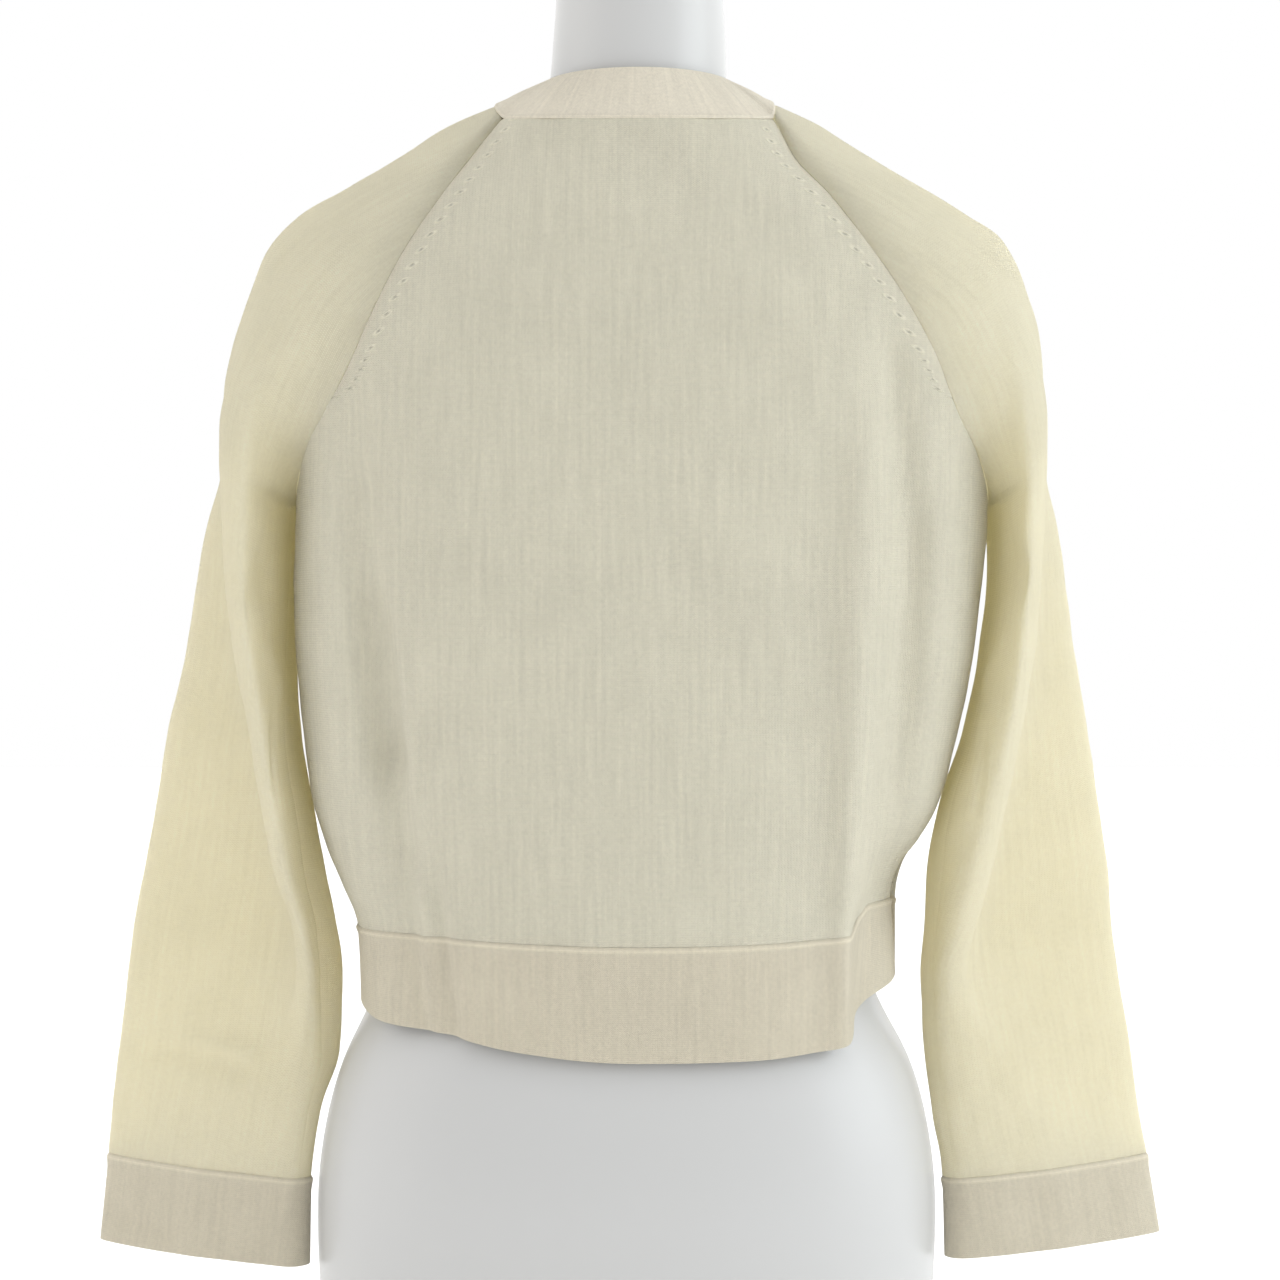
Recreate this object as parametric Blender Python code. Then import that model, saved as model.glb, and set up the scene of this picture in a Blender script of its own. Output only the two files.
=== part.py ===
# A cropped raglan cardigan worn by an armless dress form.
# Its back faces -Y, its buttoned front +Y, and -X is the wearer's left.
# The base of the form stands at z = 0. Tables are in millimetres, meshes in metres.
from collections import namedtuple
from math import asin, cos, pi, sin

import bpy
import numpy as np

MM = 0.001

# Walls and clearances
PANEL_WALL = 2.0
BAND_WALL = 2.4
SEAM_PULL = 0.2  # each piece stands this far back from a seam line
LAP_GAP = 0.4  # between the two button bands
BUTTON_GAP = 0.3

# Heights that the pieces share
UNDERARM_Z = 447.0
HEM_SEAM_Z = 229.0
HEM_EDGE_Z = 172.0
NECK_BACK_Z = 638.0
NECK_RAGLAN_Z = 643.0
NECK_FRONT_Z = 575.0
NECK_SCOOP = 1.8  # how round the front neck edge is; 1 is straight
HEM_FADE_Z = 300.0  # the hem's tilt has died out at this height

# Front opening and buttons
BAND_WIDTH = 28.0
BAND_LAP = 2.5  # the upper band covers this much of its panel
BAND_EASE = 0.4  # the lower band stands this far inside the opening
BUTTON_COUNT = 7
BUTTON_RADIUS = 5.8
BUTTON_THICKNESS = 2.6
BUTTON_LOWEST_Z = 209.0
BUTTON_HIGHEST_Z = 590.0

# Mesh density
BACK_COLUMNS = 24
FRONT_COLUMNS = 9
SIDE_ROWS = 10
RAGLAN_ROWS = 9
SLEEVE_COLUMNS = 20
SLEEVE_ROWS = 13
BAND_ROWS = 2
FORM_COLUMNS = 32
BUTTON_SIDES = 16

# Body of the garment, as level sections: half widths to each side, depths behind
# and before the side seams, and how square the corners are (2 is an ellipse).
Body = namedtuple("Body", "z left right back front square")
BODY_SECTIONS = [
    Body(643, 86, 84, 66, 40, 2.2),
    Body(622, 118, 114, 73, 49, 2.2),
    Body(600, 150, 146, 82, 60, 2.3),
    Body(575, 171, 168, 90, 75, 2.4),
    Body(550, 179, 177, 97, 90, 2.5),
    Body(520, 182, 182, 103, 104, 2.5),
    Body(490, 181, 182, 107, 113, 2.5),
    Body(447, 178.5, 181, 109, 117, 2.5),
    Body(410, 180, 178, 109, 115, 2.5),
    Body(375, 179, 174, 108, 111, 2.5),
    Body(345, 177, 169, 106, 107, 2.4),
    Body(320, 174, 163, 104, 104, 2.4),
    Body(297, 171, 157, 102, 101, 2.4),
    Body(270, 163, 147, 100, 98, 2.3),
    Body(250, 155, 138, 98, 96, 2.3),
    Body(229, 146, 134, 97, 94, 2.3),
    Body(200, 145, 134, 97, 93, 2.4),
    Body(172, 145, 134, 97, 93, 2.4),
]

# Raglan seams of the back and the fronts, from the neck to the underarm
Seam = namedtuple("Seam", "z left right")
BACK_RAGLAN = [
    Seam(643, 70, 68),
    Seam(620, 86, 78),
    Seam(600, 99, 95),
    Seam(575, 115, 113),
    Seam(550, 128, 130),
    Seam(520, 142, 147),
    Seam(490, 158, 160),
    Seam(470, 170, 172),
    Seam(447, 178.5, 181),
]
FRONT_RAGLAN = [
    Seam(622, 58, 58),
    Seam(590, 80, 80),
    Seam(550, 110, 110),
    Seam(510, 138, 139),
    Seam(475, 163, 164),
    Seam(447, 178.5, 181),
]

# Line over the shoulder and down the outside of the sleeve head. "down" is the share
# of the way along the raglan seams.
Ridge = namedtuple("Ridge", "down left left_z right right_z y")
SHOULDER_RIDGE = [
    Ridge(0.00, 76, 657, 70, 658, -5),
    Ridge(0.10, 99, 647, 92, 648, -5),
    Ridge(0.20, 125, 631, 117, 632, -5),
    Ridge(0.32, 154, 614, 145, 616, -4),
    Ridge(0.44, 179, 600, 171, 601, -2),
    Ridge(0.54, 192, 585, 188, 589, 0),
    Ridge(0.66, 199, 559, 199, 561, 3),
    Ridge(0.78, 206, 531, 207, 535, 6),
    Ridge(0.90, 213, 501, 210, 503, 9),
    Ridge(1.00, 218, 470, 212, 472, 12),
]

# Hanging part of each sleeve. At a height, the section runs from the underarm seam
# over the soft roll at the back, its outer rim, the valley behind it, the outer edge
# and the front face to the inner edge. x is the distance from the middle plane.
Sleeve = namedtuple(
    "Sleeve",
    "z tilt seam seam_y roll roll_y rim rim_y valley valley_y outer outer_y face face_y inner inner_y",
)
LEFT_SLEEVE = [
    Sleeve(447, 23, 179.3, 0, 195, -64, 211, -52, 217, -12, 219, 14, 203, 68, 184, 36),
    Sleeve(420, 14, 182, -10, 196, -63, 210.5, -51, 214, -8, 231, 16, 208, 66, 185, 32),
    Sleeve(375, 4, 183, -16, 194, -60, 206, -49, 211, -5, 240, 17, 212, 60, 184, 24),
    Sleeve(330, 0, 182, -31, 189, -54, 198, -45, 203, -3, 251, 17, 214, 52, 180, 14),
    Sleeve(288, 0, 176, -28, 183, -47, 192, -39, 198, -2, 257.5, 16, 214, 43, 172, 6),
    Sleeve(255, 0, 172, -25, 178, -41, 186, -34, 194, -2, 263, 14, 214, 37, 166, 4),
    Sleeve(230, 0, 167, -22, 172, -34, 178, -29, 190, -4, 267.5, 11, 214, 32, 160.5, 2),
    Sleeve(205, 0, 165, -20, 169, -27, 176, -24, 190, -10, 270, 8, 214, 26, 157, 1),
    Sleeve(164, 2, 165, -16, 174, -20, 186, -17, 205, -13, 274, 5, 213, 26, 158.7, 0),
    Sleeve(133, 5, 171, -23, 182, -26, 200, -22, 220, -17, 277, 3, 211, 24, 168, -11),
    Sleeve(101, 8, 175, -26, 190, -27, 210, -24, 235, -19, 279, 2, 210, 21, 171.5, -13),
    Sleeve(56, 8, 177, -28, 195, -28, 215, -25, 240, -20, 283, 1, 210, 20, 172, -14),
]
RIGHT_SLEEVE = [
    Sleeve(447, 25, 181.8, 0, 193, -63, 205, -51, 210, -12, 212, 14, 200, 68, 187, 36),
    Sleeve(420, 14, 184, -10, 193, -62, 203.5, -50, 208, -8, 222, 16, 203, 66, 187, 32),
    Sleeve(375, 4, 179, -16, 190, -58, 200, -48, 205, -5, 230, 17, 204, 60, 182, 24),
    Sleeve(330, 0, 171, -26, 183, -52, 193, -44, 199, -3, 238, 17, 204, 52, 172, 15),
    Sleeve(288, 0, 159, -26, 173, -45, 185, -38, 192, -2, 244, 16, 202, 43, 158, 8),
    Sleeve(255, 0, 155, -24, 166, -40, 178.5, -33, 186, -2, 248.5, 14, 201, 37, 152, 5),
    Sleeve(230, 0, 153, -21, 161, -34, 172, -28, 182, -4, 249.5, 11, 201, 32, 151, 3),
    Sleeve(205, 0, 151.5, -19, 157, -27, 166, -24, 181, -10, 252, 8, 202, 26, 149, 1),
    Sleeve(164, 2, 154, -16, 166, -20, 180, -17, 197, -13, 258, 5, 201, 26, 150.5, 0),
    Sleeve(133, 5, 158, -22, 171, -25, 188, -22, 206, -17, 261, 3, 199, 24, 153.5, -10),
    Sleeve(101, 8, 162, -25, 178, -27, 196, -24, 220, -19, 266, 2, 198, 21, 158, -13),
    Sleeve(60, 8, 163, -27, 184, -28, 202, -25, 226, -20, 272.5, 1, 198, 20, 159, -14),
]
# Where those points stand on the way round the sleeve, and in the same order
ROUND_SHARES = (0.0, 0.16, 0.27, 0.40, 0.56, 0.76, 0.92, 1.0)
OUTER_SHARE = 0.56
FOLD_STARTS = 0.45  # share of the way down the raglan seams
SEAM_PULL_SHARE = 0.22  # the seams draw the cloth to them over this share of the way round

# Seam and lower edge of the hem band, by the turn from the centre back in degrees
Hem = namedtuple("Hem", "turn seam_z edge_z")
HEM_LINE = [
    Hem(-180, 235, 192),
    Hem(-130, 232, 193),
    Hem(-90, 231, 193),
    Hem(-60, 231.5, 187),
    Hem(-40, 231, 184),
    Hem(-20, 229.5, 176.5),
    Hem(0, 228.5, 172),
    Hem(20, 229, 172.5),
    Hem(40, 230.5, 176),
    Hem(46, 231.5, 178),
    Hem(53, 240, 189),
    Hem(61, 244.5, 197),
    Hem(74, 244.5, 202.5),
    Hem(90, 243.6, 206),
    Hem(130, 238, 199),
    Hem(180, 235, 192),
]

# Folds of the body, x to the wearer's right; depth is outward, "low" is at the hem
Fold = namedtuple("Fold", "top_z low_z top_x middle_x low_x top_depth middle_depth low_depth width")
BACK_FOLDS = [
    Fold(530, 160, -146, -130, -101, 0.0, -5.0, -3.0, 9),
    Fold(520, 160, -165, -150, -125, 0.0, 3.0, 3.0, 13),
    Fold(560, 160, 120, 136, 115, 0.0, -5.0, -7.0, 12),
    Fold(500, 160, 113, 106, 99, 0.0, 3.0, 6.0, 10),
    Fold(400, 250, -40, 10, 50, 0.0, 1.6, 0.0, 24),
]
FRONT_FOLDS = [
    Fold(520, 160, -120, -112, -96, 0.0, -4.0, -2.0, 12),
    Fold(520, 160, -85, -80, -70, 0.0, 3.0, 3.0, 16),
    Fold(500, 160, 118, 108, 92, 0.0, -4.0, -4.0, 12),
    Fold(480, 160, 76, 72, 66, 0.0, 3.0, 3.0, 16),
]

# Upper edge of the neckband, by the turn from the centre back
Neck = namedtuple("Neck", "turn reach z")
NECK_EDGE = [
    Neck(0, 55, 667),
    Neck(45, 53, 667.5),
    Neck(90, 50.5, 668),
    Neck(120, 53, 657),
    Neck(150, 57, 632),
    Neck(163, 59, 603),
    Neck(180, 59, 603),
]
NECK_CENTRE = (-1.0, 3.0)
NECK_SWELL = 1.2

# Dress form, as level sections
Form = namedtuple("Form", "z centre half back front square")
FORM_SECTIONS = [
    Form(0, -7, 157, 100, 90, 2.3),
    Form(40, -7, 161, 104, 93, 2.3),
    Form(80, -7, 162.5, 106, 95, 2.3),
    Form(105, -7, 161.5, 105, 95, 2.3),
    Form(134, -7, 157, 101, 93, 2.3),
    Form(161, -7, 149, 95, 90, 2.3),
    Form(178, -7.5, 139.5, 89, 87, 2.3),
    Form(192, -8, 132.5, 84, 84, 2.2),
    Form(215, -8, 124, 84, 84, 2.2),
    Form(245, -7, 116, 80, 81, 2.2),
    Form(285, -6, 116, 80, 82, 2.2),
    Form(335, -4, 125, 84, 90, 2.3),
    Form(390, -3, 140, 92, 102, 2.3),
    Form(440, -3, 151, 99, 110, 2.3),
    Form(490, -3, 158, 100, 108, 2.3),
    Form(530, -3, 163, 96, 94, 2.3),
    Form(560, -3, 166, 89, 78, 2.2),
    Form(580, -3, 164, 82, 66, 2.1),
    Form(597, -3, 154, 76, 55, 2.0),
    Form(612, -3, 134, 70, 47, 2.0),
    Form(627, -3, 109, 63, 43, 1.8),
    Form(641, -3, 84, 56, 42, 1.6),
    Form(652, -3, 65, 51, 43, 1.6),
    Form(661, -1.5, 48.5, 48, 44, 1.8),
    Form(670, -1, 46.3, 46, 44.5, 2.0),
    Form(690, 0, 46, 45, 44, 2.0),
    Form(714, 0, 44, 43.5, 43, 2.0),
    Form(738, 0, 43, 42.5, 42, 2.0),
    Form(743, 0, 41, 40.5, 40, 2.0),
    Form(745, 0, 37, 36.5, 36, 2.0),
]

# Finishes: colour, roughness, sheen
Finish = namedtuple("Finish", "colour roughness sheen")
FINISHES = {
    "back_knit": Finish((0.66, 0.63, 0.50), 0.92, 0.4),
    "sleeve_knit": Finish((0.76, 0.70, 0.50), 0.92, 0.4),
    "band_knit": Finish((0.63, 0.55, 0.41), 0.92, 0.3),
    "button_pearl": Finish((0.80, 0.77, 0.68), 0.28, 0.0),
    "form_gloss": Finish((0.80, 0.80, 0.80), 0.25, 0.0),
}


# ---- curves through the tables

def smooth(places, values, at):
    """Value at "at" of a smooth curve through the values that never overshoots them."""
    places = np.asarray(places, float)
    values = np.asarray(values, float)
    if places[0] > places[-1]:
        places = places[::-1]
        values = values[::-1]
    steps = np.diff(places)
    rises = np.diff(values) / steps
    slopes = np.zeros(len(places))
    for i in range(1, len(places) - 1):
        before, after = rises[i - 1], rises[i]
        if before * after > 0:
            w1 = 2 * steps[i] + steps[i - 1]
            w2 = steps[i] + 2 * steps[i - 1]
            slopes[i] = (w1 + w2) / (w1 / before + w2 / after)
    slopes[0] = rises[0]
    slopes[-1] = rises[-1]
    at = min(max(at, places[0]), places[-1])
    i = min(int(np.searchsorted(places, at, side="right")) - 1, len(steps) - 1)
    step = steps[i]
    t = (at - places[i]) / step
    return (
        values[i] * (1 + 2 * t) * (1 - t) ** 2
        + slopes[i] * step * t * (1 - t) ** 2
        + values[i + 1] * t * t * (3 - 2 * t)
        + slopes[i + 1] * step * t * t * (t - 1)
    )


def look_up(table, column, at):
    """One column of a table at a place along its first column."""
    return smooth([row[0] for row in table], [getattr(row, column) for row in table], at)


def through(shares, points, share, closed):
    """Point at a share of a smooth curve through points, each with its own share."""
    count = len(points)
    i = min(max(int(np.searchsorted(shares, share, side="right")) - 1, 0), count - 2)

    def tangent(k):
        if closed and k in (0, count - 1):
            span = (shares[1] - shares[0]) + (shares[-1] - shares[-2])
            return (points[1] - points[-2]) / span
        low = max(k - 1, 0)
        high = min(k + 1, count - 1)
        return (points[high] - points[low]) / (shares[high] - shares[low])

    step = shares[i + 1] - shares[i]
    t = (share - shares[i]) / step
    return (
        points[i] * (1 + 2 * t) * (1 - t) ** 2
        + tangent(i) * step * t * (1 - t) ** 2
        + points[i + 1] * t * t * (3 - 2 * t)
        + tangent(i + 1) * step * t * t * (t - 1)
    )


def ease(share):
    """0 to 1 with level ends."""
    share = min(max(share, 0.0), 1.0)
    return share * share * (3 - 2 * share)


# ---- the body's outer face

def fold_height(folds, x, z):
    """How far the folds stand out of the plain surface."""
    total = 0.0
    for fold in folds:
        if not fold.low_z < z < fold.top_z:
            continue
        heights = (fold.top_z, (fold.top_z + fold.low_z) / 2, fold.low_z)
        line = smooth(heights, (fold.top_x, fold.middle_x, fold.low_x), z)
        depth = smooth(heights, (fold.top_depth, fold.middle_depth, fold.low_depth), z)
        total += depth * np.exp(-(((x - line) / fold.width) ** 2))
    return total


def body_point(z, turn):
    """Outer face of the body: turn is 0 at the centre back and +-180 at the centre front."""
    side = 1 if turn >= 0 else -1
    half = look_up(BODY_SECTIONS, "right" if side > 0 else "left", z)
    front = abs(turn) > 90
    depth = look_up(BODY_SECTIONS, "front" if front else "back", z)
    power = 2 / look_up(BODY_SECTIONS, "square", z)
    angle = abs(turn) * pi / 180
    across = abs(sin(angle)) ** power
    along = abs(cos(angle)) ** power
    x = side * half * across
    y = depth * along * (1 if front else -1)
    height = fold_height(FRONT_FOLDS if front else BACK_FOLDS, x, z)
    outward = np.array([x / half ** 2, y / depth ** 2])
    outward /= max(np.hypot(*outward), 1e-9)
    return np.array([x + outward[0] * height, y + outward[1] * height, z])


def turn_at(z, x, front):
    """Turn of the body's section at height z that stands x from the middle plane."""
    half = look_up(BODY_SECTIONS, "right" if x > 0 else "left", z)
    square = look_up(BODY_SECTIONS, "square", z)
    turn = asin(min(abs(x) / half, 1.0) ** (square / 2)) * 180 / pi
    if front:
        turn = 180 - turn
    return turn if x > 0 else -turn


def hem_drop(z, turn):
    """Height at a turn of the row at z: the lowest follows the hem's seam, the high ones are level."""
    share = ease((HEM_FADE_Z - z) / (HEM_FADE_Z - HEM_SEAM_Z))
    return z + (look_up(HEM_LINE, "seam_z", turn) - HEM_SEAM_Z) * share


def at_height(point, z):
    return np.array([point[0], point[1], z])


# ---- seam lines

def raglan_point(down, side, front):
    """Point of a raglan seam; down is 0 at the neck and 1 at the underarm."""
    table = FRONT_RAGLAN if front else BACK_RAGLAN
    z = table[0].z + (UNDERARM_Z - table[0].z) * down
    x = side * look_up(table, "right" if side > 0 else "left", z)
    return body_point(z, turn_at(z, x, front))


def side_heights(rows):
    """Heights of the body's rows from the hem's seam to the underarm."""
    return [HEM_SEAM_Z + (UNDERARM_Z - HEM_SEAM_Z) * i / rows for i in range(rows + 1)]


# ---- panels as grids of outer points, rows upward, columns from left to right

def back_turns():
    return [-90 + 180 * j / BACK_COLUMNS for j in range(BACK_COLUMNS + 1)]


def front_turns(z, side):
    first = turn_at(z, side * BAND_WIDTH / 2, front=True)
    return [first + (side * 90 - first) * j / FRONT_COLUMNS for j in range(FRONT_COLUMNS + 1)]


def back_grid():
    rows = []
    for z in side_heights(SIDE_ROWS):
        row = []
        for turn in back_turns():
            row.append(at_height(body_point(z, turn), hem_drop(z, turn)))
        rows.append(row)
    for i in range(1, RAGLAN_ROWS + 1):
        down = 1 - i / RAGLAN_ROWS
        ends = [raglan_point(down, side, front=False) for side in (-1, 1)]
        z = ends[0][2]
        first, last = (turn_at(z, end_x, front=False) for end_x in (
            -look_up(BACK_RAGLAN, "left", z), look_up(BACK_RAGLAN, "right", z)))
        dip = (NECK_RAGLAN_Z - NECK_BACK_Z) * ease(1 - down)
        row = []
        for j in range(BACK_COLUMNS + 1):
            turn = first + (last - first) * j / BACK_COLUMNS
            across = 2 * j / BACK_COLUMNS - 1
            level = z - dip * (1 - across * across)
            row.append(body_point(level, turn) if 0 < j < BACK_COLUMNS else body_point(z, turn))
        rows.append(row)
    return np.array(rows)


def front_grid(side):
    """Columns from the button band's edge to the side seam and the raglan seam."""
    rows = []
    for z in side_heights(SIDE_ROWS):
        row = []
        for turn in front_turns(z, side):
            row.append(at_height(body_point(z, turn), hem_drop(z, turn)))
        rows.append(row)
    for i in range(1, RAGLAN_ROWS + 1):
        down = 1 - i / RAGLAN_ROWS
        end = raglan_point(down, side, front=True)
        end_x = side * look_up(FRONT_RAGLAN, "right" if side > 0 else "left", end[2])
        last = turn_at(end[2], end_x, front=True)
        centre_z = NECK_FRONT_Z + (UNDERARM_Z - NECK_FRONT_Z) * down
        row = []
        for j in range(FRONT_COLUMNS + 1):
            share = j / FRONT_COLUMNS
            z = centre_z + (end[2] - centre_z) * share ** NECK_SCOOP
            first = turn_at(z, side * BAND_WIDTH / 2, front=True)
            row.append(body_point(z, first + (last - first) * share))
        rows.append(row)
    return np.array(rows)


def head_point(down, round_share, side):
    """Sleeve head: from the back raglan seam over the ridge to the front one."""
    name = "right" if side > 0 else "left"
    back = raglan_point(down, side, front=False)
    front = raglan_point(down, side, front=True)
    ridge = np.array([
        side * look_up(SHOULDER_RIDGE, name, down),
        look_up(SHOULDER_RIDGE, "y", down),
        look_up(SHOULDER_RIDGE, name + "_z", down),
    ])
    behind = round_share <= OUTER_SHARE
    start = back if behind else front
    share = round_share / OUTER_SHARE if behind else (1 - round_share) / (1 - OUTER_SHARE)
    angle = share * pi / 2
    across = sin(angle) ** 0.9
    along = 1 - cos(angle) ** 0.9
    lift = (across + along) / 2
    return np.array([
        start[0] + (ridge[0] - start[0]) * across,
        start[1] + (ridge[1] - start[1]) * along,
        start[2] + (ridge[2] - start[2]) * lift,
    ])


def hanging_ring(table, z, side):
    """The eight points round the hanging sleeve at a height of its underarm seam."""
    tilt = look_up(table, "tilt", z)
    names = ("seam", "roll", "rim", "valley", "outer", "face", "inner", "seam")
    seam, outer = look_up(table, "seam", z), look_up(table, "outer", z)
    points = []
    for name in names:
        x = look_up(table, name, z)
        lift = tilt * (x - seam) / (outer - seam)
        points.append((side * x, look_up(table, name + "_y", z), z + lift))
    return np.array(points)


def sleeve_point(down, round_share, side, table):
    """down is 0 to 1 along the raglan seams, and 1 to 2 from the underarm to the cuff's seam."""
    if down >= 1:
        z = UNDERARM_Z + (table[-2].z - UNDERARM_Z) * (down - 1)
        return through(ROUND_SHARES, hanging_ring(table, z, side), round_share, closed=True)
    plain = head_point(down, round_share, side)
    if round_share in (0.0, 1.0):
        return plain
    ring = hanging_ring(table, UNDERARM_Z, side)
    hung = through(ROUND_SHARES, ring, round_share, closed=True)
    hung[2] += plain[2] - head_point(1.0, round_share, side)[2]
    from_back = max(1 - round_share / SEAM_PULL_SHARE, 0.0) ** 2
    from_front = max(1 - (1 - round_share) / SEAM_PULL_SHARE, 0.0) ** 2
    for share, held in ((0.0, from_back), (1.0, from_front)):
        hung[:2] += (head_point(down, share, side) - ring[0])[:2] * held
    drape = ease((down - FOLD_STARTS) / (1 - FOLD_STARTS))
    return plain + (hung - plain) * drape


def sleeve_grid(side, table):
    """Rows down from the neck, columns from the back seam round to the front seam."""
    rows = []
    for i in range(RAGLAN_ROWS):
        rows.append([
            sleeve_point(i / RAGLAN_ROWS, j / SLEEVE_COLUMNS, side, table)
            for j in range(SLEEVE_COLUMNS + 1)
        ])
    for i in range(SLEEVE_ROWS + 1):
        rows.append([
            sleeve_point(1 + i / SLEEVE_ROWS, j / SLEEVE_COLUMNS, side, table)
            for j in range(SLEEVE_COLUMNS + 1)
        ])
    return np.array(rows)


def cuff_grid(side, table):
    rows = []
    for i in range(BAND_ROWS + 1):
        z = table[-2].z + (table[-1].z - table[-2].z) * i / BAND_ROWS
        ring = hanging_ring(table, z, side)
        rows.append([
            through(ROUND_SHARES, ring, j / SLEEVE_COLUMNS, closed=True)
            for j in range(SLEEVE_COLUMNS + 1)
        ])
    return np.array(rows)


def hem_grid(turns):
    """Band below a panel's lowest row, in the same columns."""
    rows = []
    for i in range(BAND_ROWS + 1):
        level = HEM_SEAM_Z + (HEM_EDGE_Z - HEM_SEAM_Z) * i / BAND_ROWS
        row = []
        for turn in turns:
            seam_z = look_up(HEM_LINE, "seam_z", turn)
            edge_z = look_up(HEM_LINE, "edge_z", turn)
            row.append(at_height(body_point(level, turn), seam_z + (edge_z - seam_z) * i / BAND_ROWS))
        rows.append(row)
    return np.array(rows)


def neck_top(point):
    """Where the neckband's upper edge stands over a point of its lower edge."""
    from_centre = point[:2] - NECK_CENTRE
    turn = np.degrees(np.arctan2(abs(from_centre[0]), -from_centre[1]))
    reach = look_up(NECK_EDGE, "reach", turn)
    plan = NECK_CENTRE + from_centre / np.hypot(*from_centre) * reach
    if point[1] > 0 and abs(plan[0]) < BAND_WIDTH / 2:
        plan[0] = np.sign(point[0]) * BAND_WIDTH / 2
    return np.array([plan[0], plan[1], look_up(NECK_EDGE, "z", turn)])


def neckband_grid(lower):
    rows = []
    for i in range(BAND_ROWS + 1):
        share = i / BAND_ROWS
        row = []
        for point in lower:
            place = point + (neck_top(point) - point) * share
            from_opening = ease((abs(point[0]) - BAND_WIDTH) / BAND_WIDTH)
            row.append(place + (0, 0, NECK_SWELL * sin(pi * share) * from_opening))
        rows.append(row)
    return np.array(rows)


def front_line(z, x):
    """Outer face along the front opening, up to the top of the neckband."""
    level = min(z, NECK_FRONT_Z)
    foot = body_point(level, turn_at(level, x, front=True))
    if z <= NECK_FRONT_Z:
        return foot
    top = neck_top(foot)
    share = (z - NECK_FRONT_Z) / (top[2] - NECK_FRONT_Z)
    return np.array([x, foot[1] + (top[1] - foot[1]) * share, z])


def line_normal(z):
    """Outward direction on the opening's centre line."""
    step = front_line(z + 2, 0.5) - front_line(z - 2, 0.5)
    normal = np.array([0, step[2], -step[1]])
    return normal / np.linalg.norm(normal)


def button_band_grid(left_x, right_x, outward, heights):
    rows = []
    for z in heights:
        offset = line_normal(z) * outward
        rows.append([front_line(z, x) + offset for x in np.linspace(left_x, right_x, 4)])
    return np.array(rows)


# ---- from grids to closed walls

Panel = namedtuple("Panel", "points faces")


def panel(grid, closed_from=None):
    """Points and four-sided faces of a grid; from a row on, its last column is its first."""
    row_count, column_count = grid.shape[:2]
    index = {}
    points = []
    for i in range(row_count):
        for j in range(column_count):
            joined = closed_from is not None and i >= closed_from and j == column_count - 1
            if joined:
                index[i, j] = index[i, 0]
            else:
                index[i, j] = len(points)
                points.append(grid[i, j])
    faces = []
    for i in range(row_count - 1):
        for j in range(column_count - 1):
            faces.append((index[i, j], index[i, j + 1], index[i + 1, j + 1], index[i + 1, j]))
    return Panel(np.array(points), faces)


def facing_out(shape, inside):
    """The same panel with its faces turned away from the point inside."""
    first = shape.points[list(shape.faces[len(shape.faces) // 2])]
    normal = np.cross(first[2] - first[0], first[3] - first[1])
    if np.dot(normal, first.mean(axis=0) - inside) < 0:
        return Panel(shape.points, [face[::-1] for face in shape.faces])
    return shape


def point_key(point):
    return tuple(np.round(point, 2))


def shared_normals(shapes):
    """Normals at all points, where pieces that meet at a seam share theirs."""
    sums = {}
    for shape in shapes:
        for face in shape.faces:
            corners = shape.points[list(face)]
            normal = np.cross(corners[2] - corners[0], corners[3] - corners[1])
            for corner in corners:
                key = point_key(corner)
                sums[key] = sums.get(key, np.zeros(3)) + normal
    return {key: total / max(np.linalg.norm(total), 1e-9) for key, total in sums.items()}


def boundary_edges(faces):
    """Edges that one face has, in that face's direction."""
    used = {}
    for face in faces:
        for a, b in zip(face, face[1:] + face[:1]):
            used[a, b] = True
    return [edge for edge in used if edge[::-1] not in used]


def wall_mesh(name, shape, normals, wall, pull):
    """Closed wall: outer points, drawn back from the seams, and the same moved inwards."""
    points = shape.points.copy()
    edge_list = boundary_edges(shape.faces)
    on_edge = {a for a, b in edge_list}
    neighbours = {}
    for face in shape.faces:
        for a, b in zip(face, face[1:] + face[:1]):
            neighbours.setdefault(a, set()).add(b)
            neighbours.setdefault(b, set()).add(a)
    across = {}
    for a, b in edge_list:
        for end in (a, b):
            across.setdefault(end, []).append(shape.points[b] - shape.points[a])
    for i in on_edge:
        normal = normals[point_key(shape.points[i])]
        move = np.zeros(3)
        for run in across[i]:
            inward = np.cross(normal, run)
            move += inward / np.linalg.norm(inward)
        length = np.linalg.norm(move)
        if length > 0:
            points[i] = shape.points[i] + move / length * pull * (2 / max(length, 1.2))
    inner = np.array([
        points[i] - normals[point_key(shape.points[i])] * wall for i in range(len(points))
    ])
    count = len(points)
    faces = list(shape.faces)
    faces += [tuple(count + i for i in face[::-1]) for face in shape.faces]
    faces += [(b, a, count + a, count + b) for a, b in edge_list]
    mesh = bpy.data.meshes.new(name)
    mesh.from_pydata((np.vstack([points, inner]) * MM).tolist(), [], faces)
    mesh.validate()
    mesh.shade_smooth()
    mesh.set_sharp_from_angle(angle=pi / 3)
    return mesh


def material(name):
    finish = FINISHES[name]
    made = bpy.data.materials.get(name)
    if made is None:
        made = bpy.data.materials.new(name)
        made.use_nodes = True
        shader = made.node_tree.nodes["Principled BSDF"]
        shader.inputs["Base Color"].default_value = (*finish.colour, 1.0)
        shader.inputs["Roughness"].default_value = finish.roughness
        shader.inputs["Metallic"].default_value = 0.0
        shader.inputs["Sheen Weight"].default_value = finish.sheen
        made.diffuse_color = (*finish.colour, 1.0)
    return made


def add_object(name, mesh, finish):
    mesh.materials.append(material(finish))
    made = bpy.data.objects.new(name, mesh)
    bpy.context.scene.collection.objects.link(made)
    return made


# ---- the pieces

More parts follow.
